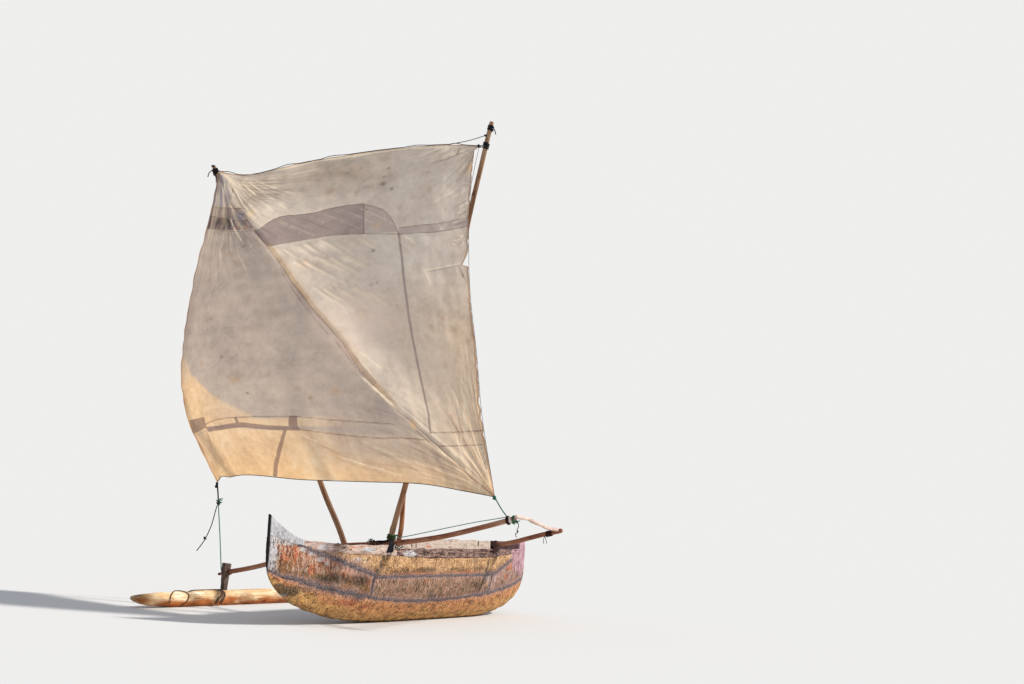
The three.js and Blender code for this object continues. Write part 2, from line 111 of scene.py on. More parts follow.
def ripple(points, wavelength, seed, waves=14):
    """Soft noise of about unit height: waves of one length in many directions."""
    rng = np.random.default_rng(seed)
    points = np.asarray(points, float)
    total = np.zeros(len(points))
    for _ in range(waves):
        direction = rng.normal(size=points.shape[1])
        direction *= 2 * math.pi / wavelength / np.linalg.norm(direction)
        total += np.cos(points @ (direction * rng.uniform(0.7, 1.3)) + rng.uniform(0, 6.28))
    return total / math.sqrt(waves / 2)


def spline(points):
    """Smooth curve through points, as a function of 0 to 1, with equal time for each stretch."""
    points = np.asarray(points, float)
    ends = [2 * points[0] - points[1]], [2 * points[-1] - points[-2]]
    knots = np.vstack([ends[0], points, ends[1]])

    def gap(a, b):
        return ((a - b) ** 2).sum(-1, keepdims=True) ** 0.25

    def curve(t):
        t = np.clip(np.atleast_1d(np.asarray(t, float)), 0, 1)
        last = len(points) - 1
        i = np.minimum((t * last).astype(int), last - 1)
        w = (t * last - i)[..., None]
        p0, p1, p2, p3 = (knots[i + k] for k in range(4))
        d0, d1, d2 = gap(p0, p1), gap(p1, p2), gap(p2, p3)
        m1 = ((p1 - p0) / d0 - (p2 - p0) / (d0 + d1) + (p2 - p1) / d1) * d1
        m2 = ((p2 - p1) / d1 - (p3 - p1) / (d1 + d2) + (p3 - p2) / d2) * d1
        return p1 + w * m1 + w ** 2 * (3 * (p2 - p1) - 2 * m1 - m2) + w ** 3 * (2 * (p1 - p2) + m1 + m2)

    return curve


def even(points, step):
    """The points' smooth curve, cut into equal steps."""
    dense = spline(points)(np.linspace(0, 1, 60 * len(points)))
    along = np.concatenate([[0], np.cumsum(np.linalg.norm(np.diff(dense, axis=0), axis=1))])
    count = max(3, int(round(along[-1] / step)) + 1)
    marks = np.linspace(0, along[-1], count)
    return np.column_stack([np.interp(marks, along, dense[:, k]) for k in range(3)]), marks


# Hull shape, as the part has it

BOW_KEEL = (0.150, BOW_X, 0.550, 2.4)           # from x, to x, rise, power
STERN_KEEL = (-1.250, STERN_X, 0.400, 2.2)
BOW_PLAN = (BOW_X, 0.012, 2.1)                  # end, half width there, power
STERN_PLAN = (STERN_X, 0.035, 3.0)
BILGE = 2.3                                     # how full the sections are
LOWER_SEAM = (0.193, 0.050, 0.0258)             # height amidships, how it curves up fore and aft
UPPER_SEAM = (0.425, 0.95, 0.248, -1.41, 0.246)     # height, from where and how steeply it climbs at each end
TOP_SEAM = (0.592, 0, 0.03, -1.3, 0.05)
GUNWALE_FORE = (0.714, 0.040, 1.3, 0.7)         # height, climb, from x, over a length
GUNWALE_AFT = 0.676
WASHBOARD_TOP = (0.772, -0.2, 0.013, 0.075, 0.86)   # height, middle, slope aft of it, fall fore over a length
PROW_TOP = (0.757, 0.213, PROW_X, BOW_X - PROW_X)
BLOCK_TOP = 0.752
STEM_LEAN = (0.036, 0.42, 0.53, 1.3)            # how far aft, from height, over height, power
STEM_FOOT = 1.85


def keel_end(x, start, end, rise, power):
    return rise * (1 - np.sqrt(1 - np.clip((x - start) / (end - start), 0, 1) ** power))


def keel_z(x):
    x = np.asarray(x, float)
    return np.where(x > 0, keel_end(x, *BOW_KEEL), keel_end(x, *STERN_KEEL))


def plan_end(x, end, half, power):
    return half + (HALF_BEAM - half) * (1 - np.clip((x - WIDEST_X) / (end - WIDEST_X), 0, 1) ** power)


def plan_half(x):
    x = np.asarray(x, float)
    return np.where(x > WIDEST_X, plan_end(x, *BOW_PLAN), plan_end(x, *STERN_PLAN))


def side_y(half, floor, z):
    u = np.clip((z - floor) / (SIDE_TOP - floor), 0, 1)
    return half * np.sqrt(1 - (1 - u) ** BILGE)


def waver(x, seed, height=0.003):
    """Small unevenness of a hand-cut edge."""
    return height * ripple(np.asarray(x, float).reshape(-1, 1), 0.34, seed, 8).reshape(np.shape(x))


def bent(x, height, fore_x, fore_slope, aft_x, aft_slope):
    return height + fore_slope * np.maximum(0, x - fore_x) + aft_slope * np.maximum(0, aft_x - x)


def swept(x, height, climb, start, length):
    return height + climb * np.maximum(0, (x - start) / length) ** 1.5


def lower_seam(x):
    height, fore, aft = LOWER_SEAM
    return height + np.where(x > 0, fore, aft) * x ** 2 + waver(x, 1)


def upper_seam(x):
    return bent(x, *UPPER_SEAM) + waver(x, 2)


def top_seam(x):
    return bent(x, *TOP_SEAM) + waver(x, 3, 0.002)


def top_strake_foot(x):
    return np.maximum(upper_seam(x), top_seam(x))


def gunwale_fore(x):
    return swept(x, *GUNWALE_FORE) + waver(x, 4, 0.004)


def gunwale_aft(x):
    return GUNWALE_AFT + waver(x, 5)


def prow_top(x):
    return swept(x, *PROW_TOP)


def washboard_top(x):
    height, middle, slope, fall, length = WASHBOARD_TOP
    fore = x - middle
    return height - fall * np.maximum(0, fore / length) ** 2 + slope * np.minimum(0, fore) + waver(x, 6)


def block_top(x):
    return np.full(np.shape(x), BLOCK_TOP)


# Meshes

def rings_to_faces(rings, count):
    """Quads between rings of count points each, and one face over each end."""
    i, j = np.meshgrid(np.arange(rings - 1), np.arange(count), indexing="ij")
    a = i * count + j
    b = i * count + (j + 1) % count
    faces = np.stack([a, b, b + count, a + count], -1).reshape(-1, 4).tolist()
    faces.append(list(range(count))[::-1])
    faces.append(list(range((rings - 1) * count, rings * count)))
    return faces


def raked(points):
    """Leans the head of the stem aft a little."""
    points = np.array(points, float)
    x, z = points[:, 0].copy(), points[:, 2]
    lean, start, height, power = STEM_LEAN
    points[:, 0] -= lean * np.clip((z - start) / height, 0, 1) ** power * smooth(STEM_FOOT, BOW_X, x)
    return points


def make(name, points, faces, material, body="hull", replaces=None, floor=False, lean=False, tidy=True,
         **fields):
    """A mesh of upright-hull points, with its fields, riding on a body. Unless told otherwise it replaces
    the node of its own name, if there is one."""
    if lean:
        points = raked(points)
    world = to_world(points)
    if floor:
        world[:, 2] = np.maximum(world[:, 2], 0)
    mesh = bpy.data.meshes.new(name)
    mesh.from_pydata(world.tolist(), [], faces)
    for field, values in fields.items():
        values = np.asarray(values, np.float32)
        kind, key = ("FLOAT_VECTOR", "vector") if values.ndim == 2 else ("FLOAT", "value")
        mesh.attributes.new(field, kind, "POINT").data.foreach_set(key, values.ravel())
    if tidy:
        work = bmesh.new()
        work.from_mesh(mesh)
        bmesh.ops.remove_doubles(work, verts=work.verts, dist=1e-5)
        bmesh.ops.dissolve_degenerate(work, edges=work.edges, dist=1e-6)
        bmesh.ops.recalc_face_normals(work, faces=work.faces)
        work.to_mesh(mesh)
        work.free()
    mesh.polygons.foreach_set("use_smooth", [True] * len(mesh.polygons))
    piece = bpy.data.objects.new(name, mesh)
    scene.collection.objects.link(piece)
    mesh.materials.append(MATERIAL[material])
    nodes = replaces or [name] * (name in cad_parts)
    if nodes:
        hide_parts(*nodes)
    if body:
        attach(piece, body)
    return piece


def stacked(name, rings, material, degrees=None, **options):
    """A piece from rings of points. Its grain is its own points unless told otherwise."""
    points = np.concatenate(rings)
    options.setdefault("grain", points)
    piece = make(name, points, rings_to_faces(len(rings), len(rings[0])), material, **options)
    return sharpen(piece, degrees) if degrees else piece


def sharpen(piece, degrees=38):
    """Shades a piece smooth apart from its sharp edges."""
    mesh = piece.data
    work = bmesh.new()
    work.from_mesh(mesh)
    limit = math.radians(degrees)
    for edge in work.edges:
        if edge.is_manifold and edge.calc_face_angle(0) > limit:
            edge.smooth = False
    work.to_mesh(mesh)
    work.free()
    return piece


# Materials

def rgb(code):
    """Linear colour from #rrggbb."""
    channels = [int(code[i:i + 2], 16) / 255 for i in (1, 3, 5)]
    return [c / 12.92 if c <= 0.04045 else ((c + 0.055) / 1.055) ** 2.4 for c in channels] + [1.0]


class Look:
    """Short names for the nodes of one material."""

    def __init__(self, name, roughness=0.85, specular=0.25):
        self.material = bpy.data.materials.new(name)
        self.material.use_nodes = True
        self.tree = self.material.node_tree
        self.shader = self.tree.nodes["Principled BSDF"]
        self.shader.inputs["Roughness"].default_value = roughness
        self.shader.inputs["Specular IOR Level"].default_value = specular
        self.grain = self.field("grain", vector=True)

    def feed(self, socket, value):
        if isinstance(value, bpy.types.NodeSocket):
            self.tree.links.new(value, socket)
        else:
            socket.default_value = value

    def node(self, kind, inputs, output=0, **settings):
        node = self.tree.nodes.new("ShaderNode" + kind)
        for key, value in settings.items():
            setattr(node, key, value)
        for key, value in inputs.items():
            self.feed(node.inputs[key], value)
        return node.outputs[output]

    def field(self, name, vector=False):
        return self.node("Attribute", {}, "Vector" if vector else "Fac", attribute_name=name)

    def noise(self, stretch, detail=4.0, roughness=0.6, vector=None, shift=0.0, bend=0.0):
        scaled = self.node("VectorMath", {0: vector or self.grain, 1: stretch}, operation="MULTIPLY")
        moved = self.node("VectorMath", {0: scaled, 1: (shift, shift, shift)}, operation="ADD")
        inputs = {"Vector": moved, "Scale": 1.0, "Detail": detail, "Roughness": roughness, "Distortion": bend}
        return self.node("TexNoise", inputs)

    def math(self, operation, a, b=0.0, c=0.0):
        return self.node("Math", {0: a, 1: b, 2: c}, operation=operation)

    def times(self, a, b):
        return self.math("MULTIPLY", a, b)

    def plus(self, a, b):
        return self.math("ADD", a, b)

    def moved(self, value, noise, amount):
        """A value, moved up and down by a noise."""
        return self.plus(value, self.times(self.math("SUBTRACT", noise, 0.5), amount))

    def blend(self, a, b, share):
        """Sum of a and b with shares that add up to 1."""
        return self.plus(self.times(a, 1 - share), self.times(b, share))

    def stronger(self, value, factor):
        """Contrast of a noise, about its middle."""
        return self.math("MULTIPLY_ADD", value, factor, 0.5 - 0.5 * factor)

    def step(self, value, low, high):
        inputs = {"Value": value, "From Min": low, "From Max": high}
        return self.node("MapRange", inputs, interpolation_type="SMOOTHSTEP")

    def ramp(self, value, stops):
        node = self.tree.nodes.new("ShaderNodeValToRGB")
        elements = node.color_ramp.elements
        while len(elements) < len(stops):
            elements.new(0.5)
        for element, (place, code) in zip(elements, stops):
            element.position = place
            element.color = rgb(code)
        self.feed(node.inputs[0], value)
        return node.outputs[0]

    def mix(self, factor, a, b, how="MIX"):
        """Two colours, the second one also as #rrggbb."""
        inputs = {"Factor": factor, 6: a, 7: rgb(b) if isinstance(b, str) else b}
        return self.node("Mix", inputs, 2, data_type="RGBA", blend_type=how)

    def tinted(self, a, b):
        return self.mix(1.0, a, b, "MULTIPLY")

    def lay(self, colour, share, strength=1.0):
        """Lays a colour over what the look has so far, by a share."""
        if strength < 1:
            share = self.times(share, strength)
        self.colour = self.mix(share, self.colour, colour)

    def tint(self, colour, share, strength=1.0):
        self.lay(self.tinted(self.colour, colour), share, strength)

    def bump(self, height, distance, normal=None):
        inputs = {"Height": height, "Distance": distance, "Strength": 1.0}
        if normal is not None:
            inputs["Normal"] = normal
        return self.node("Bump", inputs)

    def finish(self, normal=None, roughness=None):
        self.feed(self.shader.inputs["Base Color"], self.colour)
        if normal is not None:
            self.feed(self.shader.inputs["Normal"], normal)
        if roughness is not None:
            self.feed(self.shader.inputs["Roughness"], roughness)
        return self.material


def painted(name, stops, foot, foot_reach, bare, streaks=(34, 7.0), bare_from=0.62, belt=None, upright=True,
            grime=0.6, mottle=0.45, relief=0.0042):
    """Old paint on planks: short strokes in several colours, dirt that climbs from the lower edge,
    bare wood where the paint has gone, and tar smeared along the seams. The belt is a second set of
    colours below a share of the plank's height."""
    look = Look(name)
    up = look.field("up")
    streak = look.noise((streaks[0], streaks[1], 2), 6, 0.70, bend=0.6)
    cloud = look.noise((3.0, 6.5, 3), 4, 0.60, shift=7.0)
    stretch, bend = ((66, 19, 30), 0.9) if upright else ((13, 70, 30), 0.3)
    stroke = look.noise(stretch, 3, 0.65, shift=19.0, bend=bend)
    grit = look.noise((75, 50, 40), 4, 0.75, shift=3.0)
    fine = look.blend(stroke, grit, mottle)
    worn = look.blend(streak, fine, 0.5)
    patchy = look.blend(worn, cloud, 0.35)
    strokes = look.stronger(look.blend(worn, fine, 0.4), 1.5)

    def broken(field, noise, low, high):
        """A soft field broken up into strokes."""
        shifted = look.times(look.math("SUBTRACT", look.field(field), 1.0), 0.36)
        return look.step(look.plus(noise, shifted), low, high)

    tone = look.blend(look.blend(streak, cloud, 0.40), fine, 0.42)
    look.colour = look.ramp(look.stronger(tone, 2.6), stops)
    if belt:
        belt_top, belt_stops = belt
        low = look.moved(up, look.blend(cloud, worn, 0.55), 2.4)
        lower = look.ramp(look.stronger(look.blend(grit, streak, 0.4), 1.7), belt_stops)
        look.lay(lower, look.step(low, belt_top + 0.14, belt_top - 0.14))
    dirt = look.step(look.moved(up, streak, 2.0), foot_reach, foot_reach - 0.42)
    look.lay(foot, look.times(dirt, look.step(fine, 0.44, 0.53)))
    gone = look.step(look.blend(cloud, fine, 0.45), bare_from - 0.08, bare_from)
    wood_grain = look.noise((5, 120, 40), 4, 0.7, shift=1.0)
    wood = look.ramp(look.blend(wood_grain, fine, 0.4), [(0.38, bare[0]), (0.60, bare[1])])
    look.lay(wood, gone, 0.8)
    rim = look.step(look.plus(look.field("edge"), look.times(grit, 0.012)), 0.013, 0.006)
    look.lay(wood, rim, 0.45)
    rusts = look.ramp(fine, [(0.36, "#7c3f26"), (0.47, "#b35c39"), (0.55, "#c47a52"), (0.64, "#c99a7c")])
    look.lay(rusts, broken("rust", patchy, 0.42, 0.52), 0.9)
    soft = look.blend(fine, cloud, 0.4)
    greys = look.ramp(soft, [(0.36, "#9a9596"), (0.46, "#b6b4b6"), (0.54, "#c8c6c9"), (0.64, "#d4d1d2")])
    look.lay(greys, broken("pale", patchy, 0.33, 0.47))
    pinks = look.ramp(soft, [(0.36, "#9a7279"), (0.46, "#b18892"), (0.54, "#bc95a0"), (0.64, "#c4a1a8")])
    look.lay(pinks, broken("pink", patchy, 0.30, 0.44))
    # Dark stains; the same layer draws the painted shadows of the booms, which are laid into the stain field
    look.lay("#352a20", broken("stain", strokes, 0.44, 0.54), 0.86)
    broad = look.noise((9, 12, 9) if upright else (5, 22, 9), 4, 0.65, shift=31.0)
    shade = look.ramp(look.stronger(look.blend(broad, fine, 0.4), 1.9),
                      [(0.28, "#8f8177"), (0.44, "#d0c8c1"), (0.60, "#ffffff")])
    look.tint(shade, min(1.0, 1.4 * grime))
    look.tint("#5a4a3e", look.step(fine, 0.485, 0.41), grime)
    look.lay("#e2cbb0", look.step(fine, 0.53, 0.60), 0.6 * grime)
    smear = look.moved(look.field("tarred"), worn, 0.09)
    fringe = look.times(look.step(smear, 0.042, 0.022), look.step(grit, 0.42, 0.56))
    look.lay("#ad8a83", fringe, 0.55)
    tarry = look.ramp(grit, [(0.38, "#3d3336"), (0.50, "#5f5456"), (0.62, "#8b7f80")])
    look.lay(tarry, look.step(smear, 0.019, 0.008), 0.9)
    look.lay("#1f1a19", look.field("black"))
    coat = look.bump(look.math("SUBTRACT", 1.0, gone), 0.0009)
    carved = look.bump(fine, relief if upright else 0.0015, coat)
    fibres = look.bump(look.blend(grit, wood_grain, 0.5), 0.0012, carved)
    return look.finish(fibres, look.math("MULTIPLY_ADD", grit, 0.25, 0.68))


def bare_wood(name, stops, lines=(6, 150, 150), knots=0.0, cracks="#2e211a", relief=0.0012):
    """Weathered wood with its grain along x of the grain field."""
    look = Look(name)
    fibre = look.noise(lines, 5, 0.65, bend=0.4)
    cloud = look.noise((1.7, 7, 7), 3, 0.55, shift=5.0)
    fine = look.noise((60, 300, 300), 3, 0.7, shift=2.0)
    tone = look.blend(look.blend(fibre, cloud, 0.5), fine, 0.15)
    look.colour = look.ramp(tone, stops)
    split = look.step(look.noise((2.2, 45, 45), 3, 0.6, shift=9.0, bend=0.8), 0.345, 0.31)
    look.lay(cracks, split, 0.8)
    if knots:
        spots = look.step(look.noise((9, 17, 17), 2, 0.4, shift=13.0), 0.70, 0.76)
        look.lay(cracks, spots, knots)
    look.lay(look.mix(0.75, look.colour, "#2c211c"), look.field("stain"))
    # Painted shade: warmer orange-brown where the under field is set, which is the float's lower side
    look.tint("#c48450", look.field("under"))
    height = look.math("SUBTRACT", look.blend(fibre, fine, 0.4), look.times(split, 0.8))
    return look.finish(look.bump(height, relief), look.math("MULTIPLY_ADD", fine, 0.2, 0.7))


def tar(name):
    look = Look(name, roughness=0.6)
    lumps = look.noise((40, 40, 40), 4, 0.65)
    greys = [(0.32, "#322b2c"), (0.46, "#54494b"), (0.58, "#6f6264"), (0.70, "#93807d")]
    look.colour = look.ramp(lumps, greys)
    return look.finish(look.bump(lumps, 0.004), look.math("MULTIPLY_ADD", lumps, 0.5, 0.4))


def rope_look(name, places, codes):
    """Fibres that run round the twisted strands, from dark to light."""
    look = Look(name, roughness=0.9, specular=0.15)
    worn = look.noise((9, 200, 200), 4, 0.7)
    hairs = look.noise((700, 1500, 1500), 3, 0.8)
    look.colour = look.ramp(look.blend(worn, hairs, 0.35), list(zip(places, codes)))
    return look.finish(look.bump(hairs, 0.0006))


def sail_look():
    """Thin sun-bleached cotton: weave, folds, stains, double cloth, light through it, and painted glow,
    highlights and shade.
    """
    look = Look("sail_cloth", roughness=0.95, specular=0.08)
    fold, pull, ridge = look.field("fold", vector=True), look.field("pull"), look.field("ridge")
    cloud = look.noise((1.4, 1.2, 1), 5, 0.6, bend=0.5)
    blotch = look.noise((5, 4.5, 1), 5, 0.65, shift=4.0)
    grime = look.noise((22, 18, 1), 5, 0.7, shift=8.0)
    warp = look.noise((420, 22, 1), 3, 0.7)
    weft = look.noise((22, 420, 1), 3, 0.7, shift=6.0)
    weave = look.blend(warp, weft, 0.5)
    tone = look.blend(look.blend(cloud, blotch, 0.5), look.blend(weave, grime, 0.7), 0.42)
    # Painted shade: the cloth below the strained diagonal gets darker greys than the cloth above it, as the
    # two halves face the light differently
    lower = look.ramp(tone, [(0.36, "#a1958f"), (0.46, "#b5aaa4"), (0.54, "#bfb4ad"), (0.64, "#ccc1b8")])
    upper = look.ramp(tone, [(0.36, "#c4b7ab"), (0.46, "#dacfc5"), (0.54, "#e5dbd1"), (0.64, "#f0e8de")])
    look.colour = look.mix(look.step(look.field("upper"), -0.01, 0.02), lower, upper)
    sunny = look.ramp(tone, [(0.38, "#d3b089"), (0.50, "#f2cfa3"), (0.62, "#fdeacc")])
    double = look.step(look.field("double"), -0.003, 0.003)
    lit = look.times(look.field("sunlit"), look.math("MULTIPLY_ADD", double, -0.28, 1.0))
    look.lay(sunny, lit)
    look.lay("#a2a1b2", look.step(look.field("white"), -0.004, 0.008), 0.7)
    rusty = look.step(look.noise((6, 5, 1), 4, 0.6, shift=21.0), 0.60, 0.78)
    rust = look.math("MAXIMUM", look.times(look.field("rust"), look.step(blotch, 0.30, 0.52)), rusty)
    look.lay("#b08a62", rust, 0.42)
    grey = look.times(look.field("grey"), look.step(grime, 0.34, 0.52))
    look.lay("#6f675f", grey, 0.75)
    look.tint("#dbd7dc", double)
    streaks = look.noise((28, 3, 1), 3, 0.6, shift=15.0)
    dark = look.ramp(streaks, [(0.40, "#6a6068"), (0.50, "#857c82"), (0.58, "#9a8d8c"), (0.68, "#a2746a")])
    look.lay(dark, look.step(look.field("purple"), -0.004, 0.004))
    fine = look.noise((1.0, 1.0, 1.0), 3, 0.65, vector=fold)
    # Painted highlight on the crests of the folds and painted shade in their valleys
    crest = look.times(look.step(fine, 0.53, 0.64), pull)
    valley = look.times(look.step(fine, 0.48, 0.37), pull)
    crest = look.math("MAXIMUM", look.times(crest, 0.6), look.step(ridge, 0.12, 0.70))
    valley = look.math("MAXIMUM", valley, look.step(ridge, -0.08, -0.45))
    look.tint("#b39c92", valley, 0.5)
    look.lay("#fff0d6", crest, 0.42)
    thread = look.moved(look.field("seam"), blotch, 0.006)
    line = look.step(thread, 0.0085, 0.002)
    look.lay("#7d685c", line, 0.55)
    hem = look.step(look.field("hem"), 0.030, 0.024)
    look.tint("#dcc3b2", hem, 0.7)
    paler = look.field("shade")
    look.lay("#ffeadc", look.step(paler, 0.0, 1.0))
    look.tint("#9a9088", look.step(paler, 0.0, -1.0))
    # Painted highlights and painted shade along single fold lines, with chafe and threads
    stroke = look.times(look.field("stroke"), look.math("MULTIPLY_ADD", grime, 2.2, -0.1))
    look.lay("#fef1dc", look.step(stroke, 0.08, 0.9), 0.8)
    look.lay("#7b6357", look.step(stroke, -0.12, -0.85), 0.75)
    height = look.times(look.times(fine, pull), 2.2)
    height = look.plus(height, look.times(weave, 0.2))
    height = look.plus(height, look.times(double, 0.3))
    height = look.math("SUBTRACT", height, look.times(line, 0.5))
    normal = look.bump(height, 0.004)
    glow = look.tinted(look.colour, "#fff4e4")
    glow = look.mix(double, glow, look.tinted(glow, "#d9d1d2"))
    through = look.tree.nodes.new("ShaderNodeBsdfTranslucent")
    look.feed(through.inputs["Color"], glow)
    look.feed(through.inputs["Normal"], normal)
    both = look.tree.nodes.new("ShaderNodeMixShader")
    both.inputs[0].default_value = 0.55
    look.tree.links.new(look.shader.outputs[0], both.inputs[1])
    look.tree.links.new(through.outputs[0], both.inputs[2])
    output = look.tree.nodes["Material Output"]
    look.tree.links.new(both.outputs[0], output.inputs["Surface"])
    return look.finish(normal)


PAINTS = {
    # stops are the colours by the height of the noise, foot is the dirt's colour and foot_reach how high it
    # climbs, and bare is the wood where the paint has gone
    "bow_panel": dict(
        stops=[(0.30, "#5f4634"), (0.38, "#905d42"), (0.45, "#b47351"), (0.51, "#b98a6e"),
               (0.57, "#ba9e8d"), (0.64, "#c8ae9e"), (0.72, "#b4704e")],
        foot="#463728", foot_reach=0.40, bare=("#7f6351", "#b19785"),
        belt=(0.44, [(0.30, "#413426"), (0.40, "#6a5238"), (0.49, "#986f46"), (0.57, "#af7148"),
                     (0.66, "#886c45"), (0.76, "#af8f71")])),
    "middle_panel": dict(
        stops=[(0.30, "#4e3d32"), (0.38, "#705646"), (0.45, "#8e705b"), (0.51, "#a4846d"),
               (0.57, "#a97053"), (0.64, "#988375"), (0.72, "#7c5f4d")],
        foot="#4c3d34", foot_reach=0.28, bare=("#785f4a", "#a68773")),
    "stern_panel": dict(
        stops=[(0.30, "#554840"), (0.38, "#866654"), (0.45, "#a17b68"), (0.51, "#a4938c"),
               (0.57, "#ac6e59"), (0.65, "#935f4d")],
        foot="#4a4039", foot_reach=0.30, bare=("#7d695c", "#a9968c")),
    "dugout": dict(
        stops=[(0.30, "#513a23"), (0.40, "#925f36"), (0.46, "#c78854"), (0.52, "#db9f64"),
               (0.58, "#d2804c"), (0.65, "#dfae71"), (0.75, "#ac693d")],
        foot="#544328", foot_reach=0.30, bare=("#815d3d", "#ba8e5f"), bare_from=0.64, grime=0.7, mottle=0.62,
        belt=(0.62, [(0.28, "#503f25"), (0.38, "#93733b"), (0.46, "#c99853"), (0.53, "#e4b36e"),
                     (0.60, "#d28e54"), (0.68, "#ba9347"), (0.76, "#cd8150")])),
    "upper_strake": dict(
        stops=[(0.30, "#6a482a"), (0.38, "#986d3f"), (0.45, "#b88957"), (0.51, "#cda271"),
               (0.57, "#dbb78c"), (0.64, "#bc8051"), (0.72, "#cfac83")],
        foot="#45341e", foot_reach=0.44, bare=("#96714b", "#c09b72"), bare_from=0.64, mottle=0.85,
        relief=0.0022, belt=(0.30, [(0.30, "#46351e"), (0.40, "#7e5732"), (0.50, "#a9794a"),
                                    (0.58, "#b77948"), (0.68, "#8c6f43")])),
    "top_strake": dict(
        stops=[(0.30, "#3a2824"), (0.38, "#593f38"), (0.45, "#71514a"), (0.52, "#84675f"),
               (0.60, "#987d75"), (0.70, "#7d5b4f")],
        foot="#402c27", foot_reach=0.20, bare=("#513a33", "#795d54"), streaks=(5, 46), upright=False),
    "top_strake_bow": dict(
        stops=[(0.28, "#6f4e40"), (0.37, "#9c7c6b"), (0.45, "#c6ad9e"), (0.54, "#dac6ba"),
               (0.66, "#b78f7a")],
        foot="#7b5b4b", foot_reach=0.26, bare=("#7a6152", "#9b8374"), streaks=(5, 40), bare_from=0.64,
        upright=False, grime=0.34),
    "washboard": dict(
        stops=[(0.28, "#847164"), (0.37, "#aa9484"), (0.46, "#bfac9e"), (0.56, "#c7b7ac"),
               (0.68, "#b09684")],
        foot="#76635f", foot_reach=0.16, bare=("#78655f", "#988881"), streaks=(4, 34), bare_from=0.66,
        upright=False, grime=0.22),
    "prow": dict(
        stops=[(0.30, "#9a9696"), (0.40, "#adacaf"), (0.50, "#bdbdc1"), (0.60, "#c8c7ca"),
               (0.70, "#b8adac")],
        foot="#8b7468", foot_reach=0.12, bare=("#86817f", "#ababab"), streaks=(10, 9),
        bare_from=0.66, grime=0.20),
    "stern_block": dict(
        stops=[(0.30, "#9c767b"), (0.40, "#b08891"), (0.50, "#bc96a0"), (0.60, "#c4a1a9"),
               (0.70, "#aa878b")],
        foot="#694c47", foot_reach=0.12, bare=("#6f5551", "#927875"), streaks=(20, 5),
        bare_from=0.66, grime=0.28),
}
WOODS = {
    # colours, stretch of the grain, strength of the knots; the float also has colour of cracks and relief
    "inside": ([(0.32, "#4b3b2e"), (0.45, "#77614c"), (0.56, "#957d64"),
                (0.68, "#ab957b")], (5, 60, 60), 0.4),
    "thwart": ([(0.32, "#63503f"), (0.45, "#8f7860"), (0.56, "#ab9479"),
                (0.68, "#c0ac91")], (90, 6, 90), 0.5),
    "boom": ([(0.34, "#40251a"), (0.43, "#744631"), (0.51, "#98634a"), (0.58, "#ab8068"),
              (0.67, "#c6a790")],
             (7, 130, 130), 0.7),
    "spar": ([(0.34, "#493223"), (0.43, "#79563f"), (0.51, "#987357"), (0.58, "#ac8c70"),
              (0.67, "#c2a790")],
             (6, 120, 120), 0.6),
    "spar_warm": ([(0.34, "#4d2c19"), (0.43, "#7c4c2e"), (0.51, "#9b6542"), (0.58, "#ae7953"),
                   (0.67, "#c1946e")],
                  (6, 120, 120), 0.6),
    "stick": ([(0.32, "#96796a"), (0.44, "#c4a698"), (0.54, "#dcc2b4"),
               (0.68, "#ead7cc")], (7, 110, 110), 0.5),
    "board": ([(0.32, "#2f241f"), (0.45, "#4f3f36"), (0.56, "#6b584c"),
               (0.68, "#85705f")], (70, 8, 70), 0.3),
    "float": ([(0.32, "#875c38"), (0.41, "#bd8c58"), (0.48, "#dab381"), (0.55, "#edd6b2"),
               (0.64, "#fbf3e4")],
              (4, 70, 70), 0.5, "#6b4726", 0.003),
}
ROPES = {
    # places and colours, from dark to light
    "black_rope": ((0.35, 0.55, 0.75), ("#0f0e10", "#26242a", "#4b464c")),
    "brown_rope": ((0.35, 0.55, 0.75), ("#160c0a", "#3b201a", "#6b4237")),
    "olive_rope": ((0.35, 0.55, 0.75), ("#2b3018", "#525a32", "#858a5c")),
    "green_rope": ((0.35, 0.52, 0.72), ("#12402e", "#2b6b4e", "#6f9c7c")),
    "line_rope": ((0.35, 0.52, 0.72), ("#45705f", "#719887", "#a9c5b8")),
    "white_rope": ((0.35, 0.52, 0.72), ("#a39a8c", "#d9d3c7", "#f2eee6")),
    "withy": ((0.35, 0.52, 0.72), ("#3b2a20", "#5f483a", "#8b735f")),
}
MATERIAL = {key: painted(f"{key}_paint", **values) for key, values in PAINTS.items()}
MATERIAL |= {key: bare_wood(f"{key}_wood", *values) for key, values in WOODS.items()}
MATERIAL |= {key: rope_look(key, *values) for key, values in ROPES.items()}
MATERIAL |= {"tar": tar("seam_tar"), "sail": sail_look()}


# Hull: every piece is a stack of closed sections from stern to bow

def stations(x0, x1, step=0.016, rounding=0.006):
    count = max(4, int(round((x1 - x0) / step)))
    inner = np.linspace(x0 + rounding, x1 - rounding, count)
    ends = [x0, x0 + 0.3 * rounding], [x1 - 0.3 * rounding, x1]
    hollow_ends = [HOLLOW_AFT - 5e-4, HOLLOW_AFT + 5e-4, HOLLOW_FORE - 5e-4, HOLLOW_FORE + 5e-4]
    hollow_ends = [x for x in hollow_ends if x0 + rounding < x < x1 - rounding]
    return np.sort(np.concatenate([ends[0], inner, ends[1], hollow_ends]))


def rounded(distance, radius):
    """How far a surface draws back near an edge."""
    d = np.clip(distance, 0, radius)
    return radius - np.sqrt(np.maximum(0, radius ** 2 - (radius - d) ** 2))


CROWD = 1.8
ROUND = 0.006


def surface(x, low, high, share, inset, thick):
    """Points of the hull's side at shares 0 to 1 between two heights: y, z and girth."""
    floor = keel_z(x) + thick
    half = np.maximum(0.004, plan_half(x) - inset)
    reach = SIDE_TOP - floor
    low_w = (np.maximum(low - floor, 0) / reach) ** (1 / CROWD)
    high_w = (np.maximum(high - floor, 0) / reach) ** (1 / CROWD)
    w = low_w + (high_w - low_w) * share
    z = floor + reach * w ** CROWD
    return side_y(half, floor, z), z


